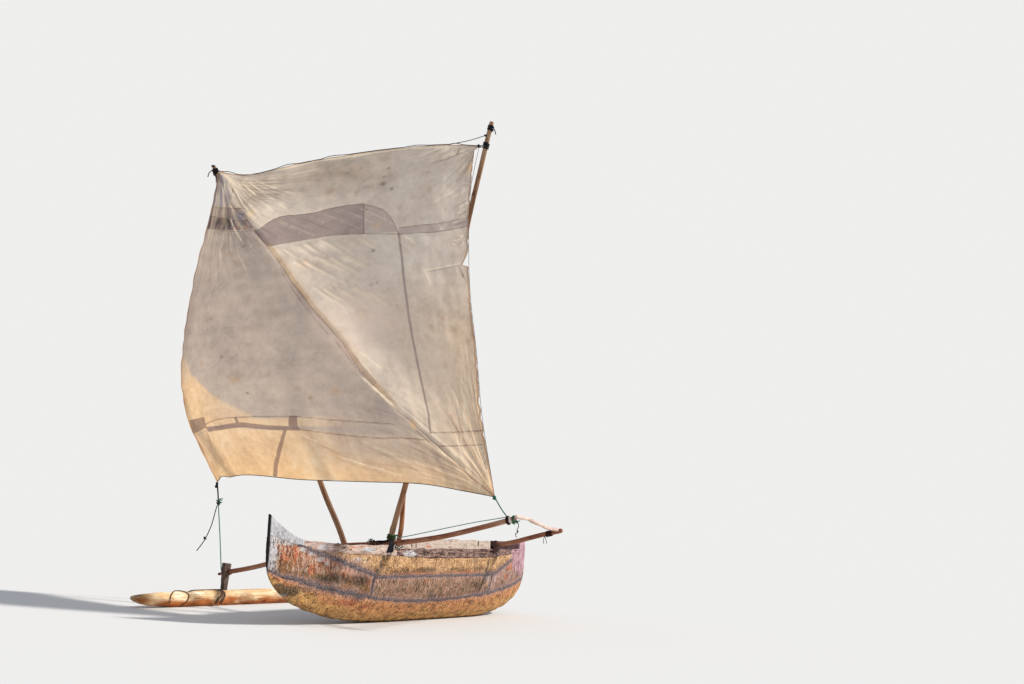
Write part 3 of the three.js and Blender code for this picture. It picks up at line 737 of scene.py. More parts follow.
def shares(count):
    """Shares from 0 to 1 that are close together at both ends."""
    t = np.linspace(0, 1, count)
    return np.concatenate([[0, 0.012, 0.03], t[1:-1], [0.97, 0.988, 1]])


def section_points(xs, ring):
    """Points x, y, z on every station from a ring of heights and half widths."""
    y = np.stack([row[0] for row in ring], 1)
    z = np.stack([row[1] for row in ring], 1)
    return np.repeat(xs[:, None], len(ring), 1), y, z


def strake(name, x0, x1, low, high, side, material, rows, blotches):
    """One plank of the side: outer face, upper edge, inner face and lower edge as one ring."""
    xs = stations(x0, x1)
    keel = keel_z(xs)
    bottom = np.maximum(low(xs), keel)
    top = np.maximum(high(xs), bottom + 1e-4)
    outer_share = shares(rows)
    inner_share = shares(max(4, rows // 2))[::-1]
    hollow = (xs > HOLLOW_AFT) & (xs < HOLLOW_FORE)
    inner_floor = keel + BOTTOM
    ring = []
    edges = []
    end_gap = np.minimum(xs - x0, x1 - xs)
    height = top - bottom
    for share in outer_share:
        y, z = surface(xs, bottom, top, share, 0, 0)
        edge = np.minimum(end_gap, np.minimum(share, 1 - share) * height)
        ring.append((y - rounded(edge, ROUND - 0.005 * smooth(1.99, 2.06, xs)), z))
        edges.append(np.maximum(edge, 0.05 * smooth(2.03, 2.10, xs)))
    inner_low = np.maximum(bottom, inner_floor)
    inner_high = np.maximum(top, inner_low + 1e-4)
    for share in inner_share:
        y, z = surface(xs, inner_low, inner_high, share, PLANK, BOTTOM)
        y = np.where(hollow & (top > inner_floor), y, 0.0004)
        z = np.where(hollow & (top > inner_floor), z, bottom + (top - bottom) * share)
        edge = np.minimum(end_gap, np.minimum(share, 1 - share) * height)
        ring.append((y + rounded(edge, ROUND) * hollow, z))
        edges.append(edge)
    x, y, z = section_points(xs, ring)
    up = np.tile(np.concatenate([outer_share, inner_share]), len(xs))
    outside = np.arange(len(ring)) < len(outer_share)
    flat = np.stack([x.ravel(), z.ravel()], 1)
    hand = 0.0016 * ripple(flat, 0.23, 20 + len(name)) + 0.0007 * ripple(flat, 0.055, 21 + len(name))
    y = y + hand.reshape(y.shape) * np.where(outside, 1.0, 0.6) * (y > 0.01)
    grain = np.stack([x, z + 0.2 * y, np.where(outside, 0.0, 0.5)[None, :] + 0 * x], -1).reshape(-1, 3)
    grain[:, 2] += side
    piece = stacked(name, np.stack([x, side * y, z], -1), material, lean=True, grain=grain, up=up,
                    edge=np.stack(edges, 1).ravel(), **marks(x.ravel(), z.ravel(), side, blotches))
    piece.data.materials.append(MATERIAL["inside"])
    return finish_inside(piece, side)


def seam_gap(x, z):
    """Distance from the tarred seams."""
    near = np.minimum(np.abs(z - lower_seam(x)), np.abs(z - upper_seam(x)) + 0.3 * smooth(1.95, 2.15, x))
    between = (z > lower_seam(x) - 0.02) & (z < upper_seam(x) + 0.02)
    butt = np.minimum(np.abs(x - BUTT_FORE), np.abs(x - BUTT_AFT))
    return np.minimum(near, np.where(between, butt, 1.0))


def thick_tar(x):
    """How much wider the tar is smeared towards the ends."""
    return 1 + 0.9 * smooth(0.8, 1.4, x) * (1 - smooth(1.95, 2.3, x)) + 0.5 * smooth(-0.9, -1.4, x)


# Painted shadow of the aft boom on the port planks
AFT_BOOM_SHADOW = (-1.26, 0.60, -1.12, 0.21)      # x and height at its head, and at its foot
AFT_BOOM_SHADOW_HALF = 0.024


def aft_boom_shadow(x, z):
    """Painted shadow of the aft boom: a dark line that runs down across the planks near the stern, to port.
    """
    x0, z0, x1, z1 = AFT_BOOM_SHADOW
    down = np.clip((z0 - z) / (z0 - z1), 0, 1)
    away = x - x0 - (x1 - x0) * down ** 1.3 - 0.006 * ripple(z[:, None], 0.11, 251)
    ends = smooth(z1 - 0.02, z1 + 0.04, z) * (1 - smooth(z0 - 0.02, z0 + 0.01, z))
    return ends * np.exp(-(away / AFT_BOOM_SHADOW_HALF) ** 2)


def marks(x, z, side, blotches):
    """Fields of soft spots, given by kind as x, z, half length, half height, strength. To starboard,
    which the photograph doesn't show, they are moved."""
    fields = {kind: np.zeros(len(x)) for kind in ("stain", "rust", "pale", "pink")}
    fields["black"] = smooth(BOW_X - 0.013, BOW_X - 0.006, x)
    fields["tarred"] = seam_gap(x, z) / thick_tar(x) + 0.1 * smooth(-1.96, -2.06, x) * smooth(0.46, 0.50, z)
    for kind, spots_of_kind in blotches.items():
        for cx, cz, rx, rz, strength in spots_of_kind:
            if side < 0 and abs(cx) < 1.9:
                cx = cx * 0.83 - 0.21
            spot = np.exp(-(((x - cx) / rx) ** 2 + ((z - cz) / rz) ** 2) ** 1.5)
            fields[kind] = np.maximum(fields[kind], strength * spot)
    if side > 0:
        # The aft boom's painted shadow is laid into the stain field, so it darkens like a stain
        fields["stain"] = np.maximum(fields["stain"], 1.7 * aft_boom_shadow(x, z))
    return fields


def finish_inside(piece, side):
    """Gives the faces that look into the hull the bare wood of the inside."""
    mesh = piece.data
    for face in mesh.polygons:
        inward = face.normal.y * side < -0.25
        far = abs(face.center.y) > 0.02
        face.material_index = 1 if inward and far else 0
    return sharpen(piece)


def crossing(curve, start, end):
    """The x between start and end where the keel line meets a curve."""
    for _ in range(40):
        middle = (start + end) / 2
        above = keel_z(middle) > curve(np.array([middle]))[0]
        start, end = (start, middle) if above else (middle, end)
    return start


def dugout():
    """The carved bottom, one log from stem to stern."""
    aft = crossing(lower_seam, -1.5, STERN_X)
    fore = crossing(lower_seam, 1.5, BOW_X)
    xs = stations(aft + 0.002, fore - 0.002, 0.016, 0.004)
    keel = keel_z(xs)
    top = np.maximum(lower_seam(xs), keel + 1e-4)
    hollow = (xs > HOLLOW_AFT) & (xs < HOLLOW_FORE) & (top > keel + BOTTOM + 0.002)
    outer = np.linspace(0, 1, 26)
    inner = np.linspace(0, 1, 13)
    half_rings = [surface(xs, keel, top, share, 0, 0) for share in outer[::-1]]
    inner_half = []
    for share in inner:
        y, z = surface(xs, keel + BOTTOM, np.maximum(top, keel + BOTTOM + 1e-4), share, PLANK, BOTTOM)
        y_top = surface(xs, keel, top, 1.0, 0, 0)[0]
        inner_half.append((np.where(hollow, y, (y_top - 0.004) * share), np.where(hollow, z, top)))
    ring = half_rings + [(-y, z) for y, z in half_rings[-2::-1]]
    outside = np.arange(len(ring) + 2 * len(inner_half) - 1) < len(ring)
    up = np.concatenate([outer[::-1], outer[1:], np.ones(2 * len(inner_half) - 1)])
    ring += [(-y, z) for y, z in inner_half[::-1]] + inner_half[1:]
    x, y, z = section_points(xs, ring)
    flat = np.stack([x.ravel(), y.ravel(), z.ravel()], 1)
    adze = 0.0022 * ripple(flat, 0.16, 31) + 0.0012 * np.abs(ripple(flat, 0.075, 32))
    taper = smooth(0, 0.2, np.minimum(xs - aft, fore - xs))[:, None]
    out = adze.reshape(y.shape) * np.where(outside, 1, 1.6) * taper
    width = np.maximum(np.abs(y).max(1, keepdims=True), 1e-3)
    y = y * (1 - out / width)
    z = z + out * (1 - np.abs(y) / width) * np.where(hollow[:, None], 1, outside)
    piece = stacked("dugout", np.stack([x, y, z], -1), "dugout", floor=True,
                    replaces=("dugout_stern", "dugout_aft", "dugout_fore", "dugout_bow"),
                    grain=np.stack([x, np.abs(y) + z, np.sign(y) + 0 * x], -1).reshape(-1, 3),
                    up=np.tile(up, len(xs)), edge=np.full(x.size, 0.1),
                    **marks(x.ravel(), z.ravel(), 1, BLOTCHES["dugout"]))
    piece.data.materials.append(MATERIAL["inside"])
    for face in piece.data.polygons:
        face.material_index = int(face.normal.z > 0.05 and HOLLOW_AFT < face.center.x < HOLLOW_FORE)
    return sharpen(piece)


def end_block(name, x0, x1, high, material):
    """A solid piece across the whole hull, at the stem or the stern."""
    xs = stations(x0, x1, 0.014, 0.005)
    bottom = np.maximum(upper_seam(xs), keel_z(xs))
    top = np.maximum(high(xs), bottom + 1e-4)
    ring = []
    end_gap = np.minimum(xs - x0, x1 - xs)
    for share in shares(16)[::-1]:
        y, z = surface(xs, bottom, top, share, 0, 0)
        edge = np.minimum(end_gap, (1 - share) * (top - bottom))
        ring.append((np.maximum(y - rounded(edge, 0.005), 0.001), z, share, edge))
    ring = ring + [(-y, z, share, edge) for y, z, share, edge in ring[::-1]]
    x, y, z = section_points(xs, ring)
    flat = np.stack([x.ravel(), z.ravel()], 1)
    y = y * (1 + 0.02 * ripple(flat, 0.14, 40).reshape(y.shape) * (np.abs(y) > 0.02))
    up = np.tile([row[2] for row in ring], len(xs))
    edge = np.stack([row[3] for row in ring], 1).ravel()
    piece = stacked(name, np.stack([x, y, z], -1), material, lean=True, up=up, edge=edge,
                    grain=np.stack([x, z, y], -1).reshape(-1, 3),
                    **marks(x.ravel(), z.ravel(), 1, BLOTCHES[name]))
    return sharpen(piece, 50)


SIDES = {"port": 1, "starboard": -1}
STRAKES = [
    # name, from x, to x, lower edge, upper edge, rows
    ("bow_panel", BUTT_FORE, BOW_X, lower_seam, upper_seam, 18),
    ("middle_panel", BUTT_AFT, BUTT_FORE, lower_seam, upper_seam, 16),
    ("stern_panel", STERN_X, BUTT_AFT, lower_seam, upper_seam, 18),
    ("upper_strake", -2.240, 1.820, upper_seam, top_seam, 12),
    ("top_strake", HOLLOW_AFT, STEP_X, top_strake_foot, gunwale_aft, 10),
    ("top_strake_bow", STEP_X, PROW_X, top_strake_foot, gunwale_fore, 10),
    ("washboard", -1.290, STEP_X - 0.002, gunwale_aft, washboard_top, 9),
]
PINK_STERN = [(-2.40, 0.62, 0.44, 0.21, 1.6)]
BLOTCHES = {
    # x, z, half length, half height, strength
    "dugout": {
        "stain": [
            (2.14, 0.315, 0.26, 0.08, 1.15), (2.26, 0.365, 0.08, 0.030, 1.25),
            (2.08, 0.30, 0.12, 0.050, 1.3), (1.93, 0.33, 0.16, 0.045, 1.0), (1.80, 0.27, 0.22, 0.03, 0.8),
            (-1.25, 0.14, 0.02, 0.06, 0.95), (-2.35, 0.24, 0.2, 0.05, 0.85)],
        "rust": [
            (2.29, 0.410, 0.10, 0.035, 0.95), (2.01, 0.375, 0.10, 0.030, 0.9),
            (1.30, 0.205, 0.30, 0.050, 1.15), (1.00, 0.165, 0.20, 0.040, 1.1),
            (0.10, 0.15, 0.5, 0.03, 0.75), (-1.9, 0.22, 0.5, 0.05, 0.9)],
        "pale": [(2.17, 0.282, 0.06, 0.022, 0.85)],
    },
    "bow_panel": {
        "stain": [
            (2.12, 0.715, 0.028, 0.020, 1.1), (1.97, 0.46, 0.10, 0.05, 0.9),
            (1.72, 0.414, 0.17, 0.05, 1.25), (1.56, 0.420, 0.50, 0.080, 1.08),
            (1.22, 0.40, 0.20, 0.09, 1.2)],
        "rust": [
            (2.24, 0.60, 0.09, 0.07, 1.2), (2.12, 0.63, 0.05, 0.11, 1.35), (1.90, 0.50, 0.08, 0.07, 1.2),
            (1.60, 0.56, 0.11, 0.04, 1.1), (1.46, 0.453, 0.05, 0.05, 1.1), (1.40, 0.50, 0.14, 0.03, 0.85),
            (1.05, 0.37, 0.04, 0.10, 0.97)],
        "pale": [
            (2.43, 0.60, 0.15, 0.36, 1.0), (2.22, 0.77, 0.26, 0.10, 1.0), (2.02, 0.665, 0.06, 0.030, 1.0),
            (1.92, 0.635, 0.06, 0.035, 1.0), (1.80, 0.585, 0.07, 0.040, 1.0),
            (1.72, 0.545, 0.05, 0.035, 0.95)],
    },
    "middle_panel": {
        "stain": [
            (0.55, 0.30, 0.30, 0.05, 0.85), (-0.05, 0.27, 0.40, 0.05, 0.85), (-0.80, 0.37, 0.12, 0.04, 0.8),
            (-0.84, 0.39, 0.02, 0.04, 1.1)],
        "rust": [(0.92, 0.36, 0.05, 0.08, 0.9), (0.10, 0.37, 0.18, 0.05, 1.0),
                 (-0.9, 0.29, 0.2, 0.03, 0.75)],
        "pale": [(-1.28, 0.40, 0.08, 0.03, 0.9), (-1.34, 0.36, 0.05, 0.09, 0.66)],
    },
    "stern_panel": {
        "stain": [(-1.75, 0.30, 0.2, 0.04, 0.9), (-2.3, 0.40, 0.25, 0.03, 0.9)],
        "rust": [(-1.82, 0.40, 0.08, 0.05, 1.1), (-1.90, 0.51, 0.15, 0.08, 1.2)],
        "pale": [(-1.50, 0.38, 0.07, 0.08, 0.66)],
        "pink": PINK_STERN,
    },
    "upper_strake": {
        "stain": [
            # The spots from x 0.885, height 0.60 down to x 0.98, height 0.48 are a painted shadow of the
            # forward boom, laid in as stain
            (1.14, 0.580, 0.024, 0.018, 1.25), (0.98, 0.48, 0.034, 0.04, 1.3),
            (0.93, 0.54, 0.034, 0.05, 1.35), (0.885, 0.60, 0.032, 0.05, 1.35),
            (0.12, 0.485, 0.38, 0.045, 1.02), (-0.5, 0.490, 0.28, 0.030, 0.98),
            (-1.05, 0.49, 0.30, 0.035, 1.02)],
        "rust": [
            (0.66, 0.46, 0.16, 0.05, 0.97), (0.25, 0.454, 0.45, 0.014, 1.35),
            (-0.72, 0.456, 0.43, 0.013, 1.45), (-1.80, 0.56, 0.14, 0.06, 0.9)],
        "pale": [(1.30, 0.575, 0.24, 0.045, 0.68), (1.02, 0.585, 0.06, 0.03, 0.62)],
        "pink": PINK_STERN,
    },
    "top_strake": {
        "stain": [(0.16, 0.645, 0.10, 0.04, 1.2), (-0.30, 0.66, 0.5, 0.010, 0.8),
                  (-1.05, 0.63, 0.07, 0.03, 0.85)],
        "rust": [(-1.75, 0.65, 0.16, 0.02, 0.9)],
        "pale": [(0.44, 0.635, 0.20, 0.050, 0.90)],
        "pink": PINK_STERN,
    },
    "top_strake_bow": {
        "stain": [
            (1.97, 0.735, 0.05, 0.016, 1.1), (1.85, 0.728, 0.05, 0.014, 1.1),
            (1.61, 0.689, 0.06, 0.016, 1.0), (1.48, 0.688, 0.026, 0.014, 1.3),
            (1.39, 0.670, 0.022, 0.016, 1.35)],
        "rust": [
            (1.82, 0.70, 0.05, 0.03, 0.85), (1.54, 0.644, 0.05, 0.016, 1.1),
            (1.42, 0.69, 0.26, 0.030, 0.95), (1.14, 0.703, 0.14, 0.010, 0.95)],
        "pale": [(1.76, 0.69, 0.11, 0.035, 0.9), (1.10, 0.675, 0.16, 0.03, 0.85)],
    },
    "washboard": {
        "stain": [
            (0.42, 0.72, 0.016, 0.05, 1.5), (0.34, 0.71, 0.014, 0.05, 1.5), (-0.4, 0.682, 0.6, 0.005, 0.8),
            (-0.70, 0.71, 0.03, 0.03, 0.95), (-0.98, 0.73, 0.030, 0.05, 1.4)],
        "rust": [(0.10, 0.70, 0.12, 0.02, 0.9)],
    },
    "prow_piece": {"stain": [(2.28, 0.86, 0.05, 0.006, 0.85), (2.17, 0.79, 0.05, 0.008, 0.8)]},
    "stern_block": {},
}


def planking():
    dugout()
    for name, x0, x1, low, high, rows in STRAKES:
        for side_name, side in SIDES.items():
            if name != "washboard" or side > 0:
                strake(f"{name}_{side_name}", x0, x1, low, high, side, name, rows, BLOTCHES[name])
    end_block("prow_piece", PROW_X, BOW_X, prow_top, "prow")
    end_block("stern_block", STERN_X, HOLLOW_AFT, block_top, "stern_block")


def seam_bead(name, curve, x0, x1, width, height, seed, side):
    """Tar smeared along a seam: a low, lumpy strip on the outside of the planks."""
    xs = np.arange(x0, x1, 0.012)
    across = np.linspace(-1, 1, 9)
    wide = width * (1 + 0.16 * ripple(xs[:, None], 0.30, seed) + 0.07 * ripple(xs[:, None], 0.07, seed + 1))
    wide = np.clip(wide, 0.5 * width, 1.5 * width) * smooth(0, 0.03, np.minimum(xs - x0, x1 - xs) + 0.006)
    wide *= thick_tar(xs) ** 0.7
    rows = []
    for k, share in enumerate([*across, *across[::-1]]):
        z = np.maximum(curve(xs) + share * wide, keel_z(xs) + 0.002)
        y = side_y(plan_half(xs), keel_z(xs), z)
        if k < len(across):
            lump = height * (1 - share ** 4) * (1 + 0.25 * ripple(np.stack([xs, z], 1), 0.04, seed + 2))
            y = y + lump - 0.001
        else:
            y = np.maximum(y - 0.003, 0.0005)
        rows.append(np.stack([xs, side * y, z], 1))
    return stacked(name, np.stack(rows, 1), "tar", lean=True)


def butt_strap(name, x, low, high, width, seed, side):
    """Tar over an upright joint between two panels."""
    zs = np.arange(low, high, 0.012)
    across = np.linspace(-1, 1, 7)
    wide = width * (1 + 0.25 * ripple(zs[:, None], 0.08, seed))
    rows = []
    lifts = [(share, 0.0035 * (1 - share ** 4) - 0.001) for share in across]
    for share, lift in lifts + [(share, -0.003) for share in across[::-1]]:
        xs = x + share * wide + 0.006 * ripple(zs[:, None], 0.2, seed + 1)
        y = side_y(plan_half(xs), keel_z(xs), zs) + lift
        rows.append(np.stack([xs, side * y, zs], 1))
    return stacked(name, np.stack(rows, 1), "tar")


WIDE_TAR, NARROW_TAR, TAR_HEIGHT = 0.0085, 0.0075, 0.0026


def seams():
    for side_name, side in SIDES.items():
        seam_bead(f"lower_seam_{side_name}", lower_seam, -2.62, 2.40, WIDE_TAR, TAR_HEIGHT, 50 + side, side)
        seam_bead(f"upper_seam_{side_name}", upper_seam, -2.02, 2.10, NARROW_TAR, TAR_HEIGHT, 60 + side, side)
        for k, x in enumerate((BUTT_FORE, BUTT_AFT)):
            low, high = float(lower_seam(x)) + 0.01, float(upper_seam(x)) - 0.01
            butt_strap(f"butt_{k}_{side_name}", x, low, high, WIDE_TAR, 70 + k, side)


# Poles, boards and the float

def tube(path, radii, sides, lumps=None):
    """Rings round a path, with grain = along, then a point of the section."""
    path = np.asarray(path, float)
    tangents = np.gradient(path, axis=0)
    tangents /= np.linalg.norm(tangents, axis=1, keepdims=True)
    normal = np.cross(tangents[0], (0.3, 0.2, 1.0) if abs(tangents[0][2]) < 0.9 else (1.0, 0.1, 0.0))
    normal /= np.linalg.norm(normal)
    along = np.concatenate([[0], np.cumsum(np.linalg.norm(np.diff(path, axis=0), axis=1))])
    angles = np.arange(sides) * 2 * math.pi / sides
    rings = []
    for centre, tangent in zip(path, tangents):
        normal = normal - tangent * (normal @ tangent)
        normal /= np.linalg.norm(normal)
        binormal = np.cross(tangent, normal)
        rings.append((centre, normal, binormal))
    centres, normals, binormals = (np.array(part)[:, None] for part in zip(*rings))
    radius = np.broadcast_to(np.asarray(radii, float).reshape(-1, 1), (len(path), sides)).copy()
    if lumps is not None:
        radius *= lumps(along[:, None], angles[None, :])
    points = centres + radius[..., None] * (np.cos(angles)[None, :, None] * normals
                                            + np.sin(angles)[None, :, None] * binormals)
    lengths = np.repeat(along[:, None], sides, 1)
    section = np.stack([lengths, radius * np.cos(angles), radius * np.sin(angles)], -1)
    return points.reshape(-1, 3), rings_to_faces(len(path), sides), section.reshape(-1, 3)


def pole(name, material, points, foot_r, head_r, body, seed, crook=0.004, knots=6, sides=22, waste=0.0):
    """A natural pole: slightly crooked, with knots and rounded ends, and worn thin at its foot if told so."""
    path, along = even(points, 0.018)
    rng = np.random.default_rng(seed)
    length = along[-1]
    free = smooth(0, 0.25, along) * smooth(0, 0.25, length - along)
    sway = np.stack([ripple(along[:, None], 0.9, seed + k, 6) for k in range(3)], 1)
    path = path + crook * free[:, None] * sway
    radii = foot_r + (head_r - foot_r) * along / length
    radii = radii * (1 - waste * smooth(0.075, 0.035, along))
    end = np.minimum(along, length - along)
    radii = radii * np.where(end < 0.012, 0.72 + 0.28 * np.sqrt(np.clip(end / 0.012, 0, 1)), 1)
    knot_rows = [(rng.uniform(0.08, 0.95) * length, rng.uniform(0, 6.28), rng.uniform(0.10, 0.24))
                 for _ in range(knots)]

    def lumps(s, angle):
        shape = 1 + 0.03 * np.cos(2 * angle + 1.3 * s) + 0.025 * np.cos(3 * angle - 2.1 * s + seed)
        shape = shape + 0.02 * np.cos(5 * angle + 9 * s) * np.sin(7 * s)
        for place, turn, size in knot_rows:
            apart = np.angle(np.exp(1j * (angle - turn)))
            shape = shape + size * np.exp(-((s - place) / 0.022) ** 2 - (apart / 0.55) ** 2)
        return shape

    made, faces, grain = tube(path, radii, sides, lumps)
    grain[:, 1:] += seed * 0.37
    stain = np.zeros(len(made))
    flecks = np.abs(ripple(grain, 0.08, seed)) > 0.9
    for place, _, _ in knot_rows:
        stain = np.maximum(stain, 0.8 * np.exp(-((grain[:, 0] - place) / 0.025) ** 2) * flecks)
    return sharpen(make(name, made, faces, material, body, grain=grain, stain=stain), 60)


BOOM_TABLE = {
    # across, up
    "fore": [(-1.585, 0.405), (-1.000, 0.527), (-0.310, 0.690), (0.310, 0.731), (0.780, 0.798),
             (1.200, 0.891), (1.520, 0.974)],
    "aft": [(-1.585, 0.408), (-1.000, 0.530), (-0.310, 0.693), (0.310, 0.736), (0.600, 0.794),
            (0.950, 0.874)],
}
BOOM = {end: [(BOOM_X[end], y, z) for y, z in rows] for end, rows in BOOM_TABLE.items()}
# The stick that joins the booms' port ends, from its fore end
STICK = [(0.750, 1.542, 0.987), (0.474, 1.476, 0.980), (-0.061, 1.327, 0.957), (-0.675, 1.155, 0.912),
         (-1.280, 0.985, 0.884), (BOOM_X["aft"], 0.898, 0.880)]
SPARS = {
    # from the foot to the tip
    "spar_starboard": [(FOOT_X, -0.012, FOOT_Z), (FOOT_X, -0.262, 0.720), (FOOT_X, -0.528, 1.285),
                       (FOOT_X, -1.160, 2.790), (FOOT_X, -1.788, 4.294), (FOOT_X, -1.801, 4.326)],
    "spar_port": [(FOOT_X, 0.060, FOOT_Z), (FOOT_X, 0.236, 0.795), (FOOT_X, 0.363, 1.263),
                  (FOOT_X, 0.680, 2.540), (FOOT_X, 0.995, 3.821), (FOOT_X, 1.174, 4.550),
                  (FOOT_X, 1.182, 4.582)],
}
PROP = [(FOOT_X, 0.122, FOOT_Z), (0.512, 0.246, 0.791), (0.582, 0.338, 1.286), (0.590, 0.470, 1.760)]


def boom_at(end, y):
    """The boom's axis at a place across."""
    path, _ = even(BOOM[end], 0.004)
    return path[np.abs(path[:, 1] - y).argmin()]


def poles():
    for k, end in enumerate(BOOM):
        pole(f"boom_{end}", "boom", BOOM[end], BOOM_R, BOOM_R, "hull", 80 + k, 0.003, 9, waste=0.42)
    pole("end_stick", "stick", STICK, STICK_R, STICK_R * 0.94, "hull", 83, 0.002, 5, 18)
    for k, (name, points) in enumerate(SPARS.items()):
        pole(name, "spar", points, SPAR_FOOT, SPAR_TIP, "rig", 90 + k, knots=14)
    pole("prop_pole", "spar_warm", PROP, SPAR_FOOT, PROP_HEAD, "rig", 95, sides=20)


FLOAT_TABLE = [
    # x, radius, rise of the axis
    (FLOAT_TAIL, 0.030, 0.014),
    (FLOAT_TAIL + 0.040, 0.048, 0.010),
    (-1.800, 0.062, 0.002),
    (-1.200, 0.070, -0.003),
    (-0.300, 0.073, 0.0),
    (FLOAT_TIP - 1.200, 0.073, 0.0),
    (FLOAT_TIP - 0.620, 0.071, 0.0),
    (FLOAT_TIP - 0.300, 0.058, 0.006),
    (FLOAT_TIP - 0.140, 0.045, 0.014),
    (FLOAT_TIP - 0.040, 0.030, 0.022),
    (FLOAT_TIP, 0.016, 0.026),
]


def float_log():
    """A bare log, hewn with flats, split along the grain and blunt at the tip."""
    table = np.array(FLOAT_TABLE)
    xs = np.concatenate([np.arange(FLOAT_TAIL, FLOAT_TIP, 0.014), [FLOAT_TIP]])
    radii = np.interp(xs, table[:, 0], table[:, 1])
    radii[1:-1] = np.convolve(radii, (0.25, 0.5, 0.25), "valid")
    rise = np.interp(xs, table[:, 0], table[:, 2])
    path = np.stack([xs, np.full(len(xs), FLOAT_Y), FLOAT_Z + rise], 1)

    def hewn(s, angle):
        around = np.stack(np.broadcast_arrays(0.55 * s, 0.11 * np.cos(angle), 0.11 * np.sin(angle)), -1)
        shape = around.reshape(-1, 3)
        facets = -0.035 * np.abs(ripple(shape, 0.11, 101)) + 0.02 * ripple(shape, 0.3, 102)
        off_split = np.angle(np.exp(1j * (angle - 1.1 - 0.35 * np.sin(1.7 * s))))
        splits = -0.05 * np.exp(-(off_split / 0.05) ** 2) * (np.sin(2.3 * s + 0.6) > -0.2)
        return 1.01 + facets.reshape(around.shape[:-1]) + splits

    points, faces, grain = tube(path, radii, 40, hewn)
    # Painted shade: the log's lower side is tinted warmer, standing in for its shaded underside lit by warm
    # bounce light
    under = smooth(0.035, -0.045, points[:, 2] - FLOAT_Z + 0.015 * ripple(grain * (1, 4, 4), 0.35, 104))
    stain = 0.35 * smooth(0.35, 0.9, ripple(grain * (1, 3, 3), 0.5, 103))
    piece = make("float", points, faces, "float", floor=True, grain=grain, stain=stain, under=under)
    return sharpen(piece, 60)


def box_ring(width, depth, radius):
    """Rounded rectangle, as points round the middle."""
    steps = 3
    corners = [(1, 1), (-1, 1), (-1, -1), (1, -1)]
    ring = []
    for k, (sx, sy) in enumerate(corners):
        for j in range(steps + 1):
            a = math.pi / 2 * (k + j / steps)
            ring.append((sx * (width / 2 - radius) + radius * math.cos(a),
                         sy * (depth / 2 - radius) + radius * math.sin(a)))
    return np.array(ring)


STANCHION_LET_IN, STANCHION_THICK = 0.022, 0.036


def stanchion(name, foot_x, head_x, head_z, foot_w, head_w, seed):
    """A tapered board let into the float, with worn edges and a sloping head."""
    foot_z = FLOAT_Z + FLOAT_R - STANCHION_LET_IN
    rings = []
    for share in [0, *np.linspace(0.02, 0.985, 26), 0.995, 1.0]:
        width = foot_w + (head_w - foot_w) * share
        shrink = 0.004 * max(0.0, (share - 0.985) / 0.015)
        ring = box_ring(width - 2 * shrink, STANCHION_THICK - 2 * shrink, 0.006)
        x = foot_x + (head_x - foot_x) * share + ring[:, 0]
        slope = 0.010 * share * (ring[:, 0] / (head_w / 2) - 1) / 2
        z = foot_z + (head_z - foot_z) * share + slope
        rings.append(np.stack([x, FLOAT_Y + ring[:, 1], z], 1))
    points = np.concatenate(rings)
    points[:, 0] += 0.0016 * ripple(points, 0.09, seed)
    points[:, 1] += 0.0010 * ripple(points, 0.07, seed + 1)
    faces = rings_to_faces(len(rings), len(ring))
    return sharpen(make(name, points, faces, "board", grain=points[:, [0, 2, 1]]), 45)


THWARTS = [
    # name, middle in x, underside height, width along x
    ("thwart_middle", -0.060, 0.590, 0.170),
    ("thwart_aft", -1.180, 0.585, 0.170),
    ("thwart_fore", 1.420, 0.600, 0.130),
]
THWART_THICK = 0.024


def cross_board(name, x, z, width, seed):
    """A board from side to side, trimmed to the inside of the hull."""
    ring = box_ring(width, THWART_THICK, 0.005)
    places = x + ring[:, 0]
    heights = z + THWART_THICK / 2 + ring[:, 1]
    reach = side_y(plan_half(places) - PLANK, keel_z(places) + BOTTOM, heights) - 0.0005
    rings = []
    for share in [-1, -0.995, *np.linspace(-0.98, 0.98, 34), 0.995, 1]:
        sag = 0.0012 * (1 - share ** 2)
        rings.append(np.stack([places, share * reach, heights - sag], 1))
    points = np.concatenate(rings)
    points[:, 2] += 0.0012 * ripple(points, 0.12, seed)
    stain = 0.5 * smooth(0.8, 1.6, ripple(points, 0.2, seed + 1))
    faces = rings_to_faces(len(rings), len(ring))
    return sharpen(make(name, points, faces, "thwart", grain=points, stain=stain), 45)


STEP_HALF, CHEEK_IN, CHEEK_OUT, CHEEK_RISE, EASE = 0.105, 0.036, 0.066, 0.016, 0.004


def mast_step():
    """A block across the bilge with a groove for the spars' feet between two cheeks."""
    top = FOOT_Z - SPAR_FOOT - 0.0003
    cheek = top + CHEEK_RISE
    half = [(CHEEK_IN, top), (CHEEK_IN, cheek - 0.003), (CHEEK_IN + EASE, cheek), (CHEEK_OUT - EASE, cheek),
            (CHEEK_OUT, cheek - 0.003), (CHEEK_OUT, top), (STEP_HALF - EASE, top), (STEP_HALF, top - EASE),
            (STEP_HALF, -1)]
    profile = np.array([(-x, z) for x, z in half[::-1]] + half)
    places, heights = FOOT_X + profile[:, 0], profile[:, 1]
    floor = keel_z(places) + BOTTOM
    under = heights < 0
    tops = np.where(under, top, np.maximum(heights, floor + 0.02))
    reach = side_y(plan_half(places) - PLANK, floor, tops) - 0.0006
    rings = []
    for share in np.linspace(-1, 1, 31):
        y = share * reach
        u = np.sqrt(np.maximum(0, 1 - (np.abs(y) / (plan_half(places) - PLANK)) ** 2))
        bed = floor + (SIDE_TOP - floor) * (1 - u ** (2 / BILGE)) + 0.0005
        rings.append(np.stack([places, y, np.where(under, bed, np.maximum(heights, bed))], 1))
    return stacked("mast_step", rings, "thwart", 30)


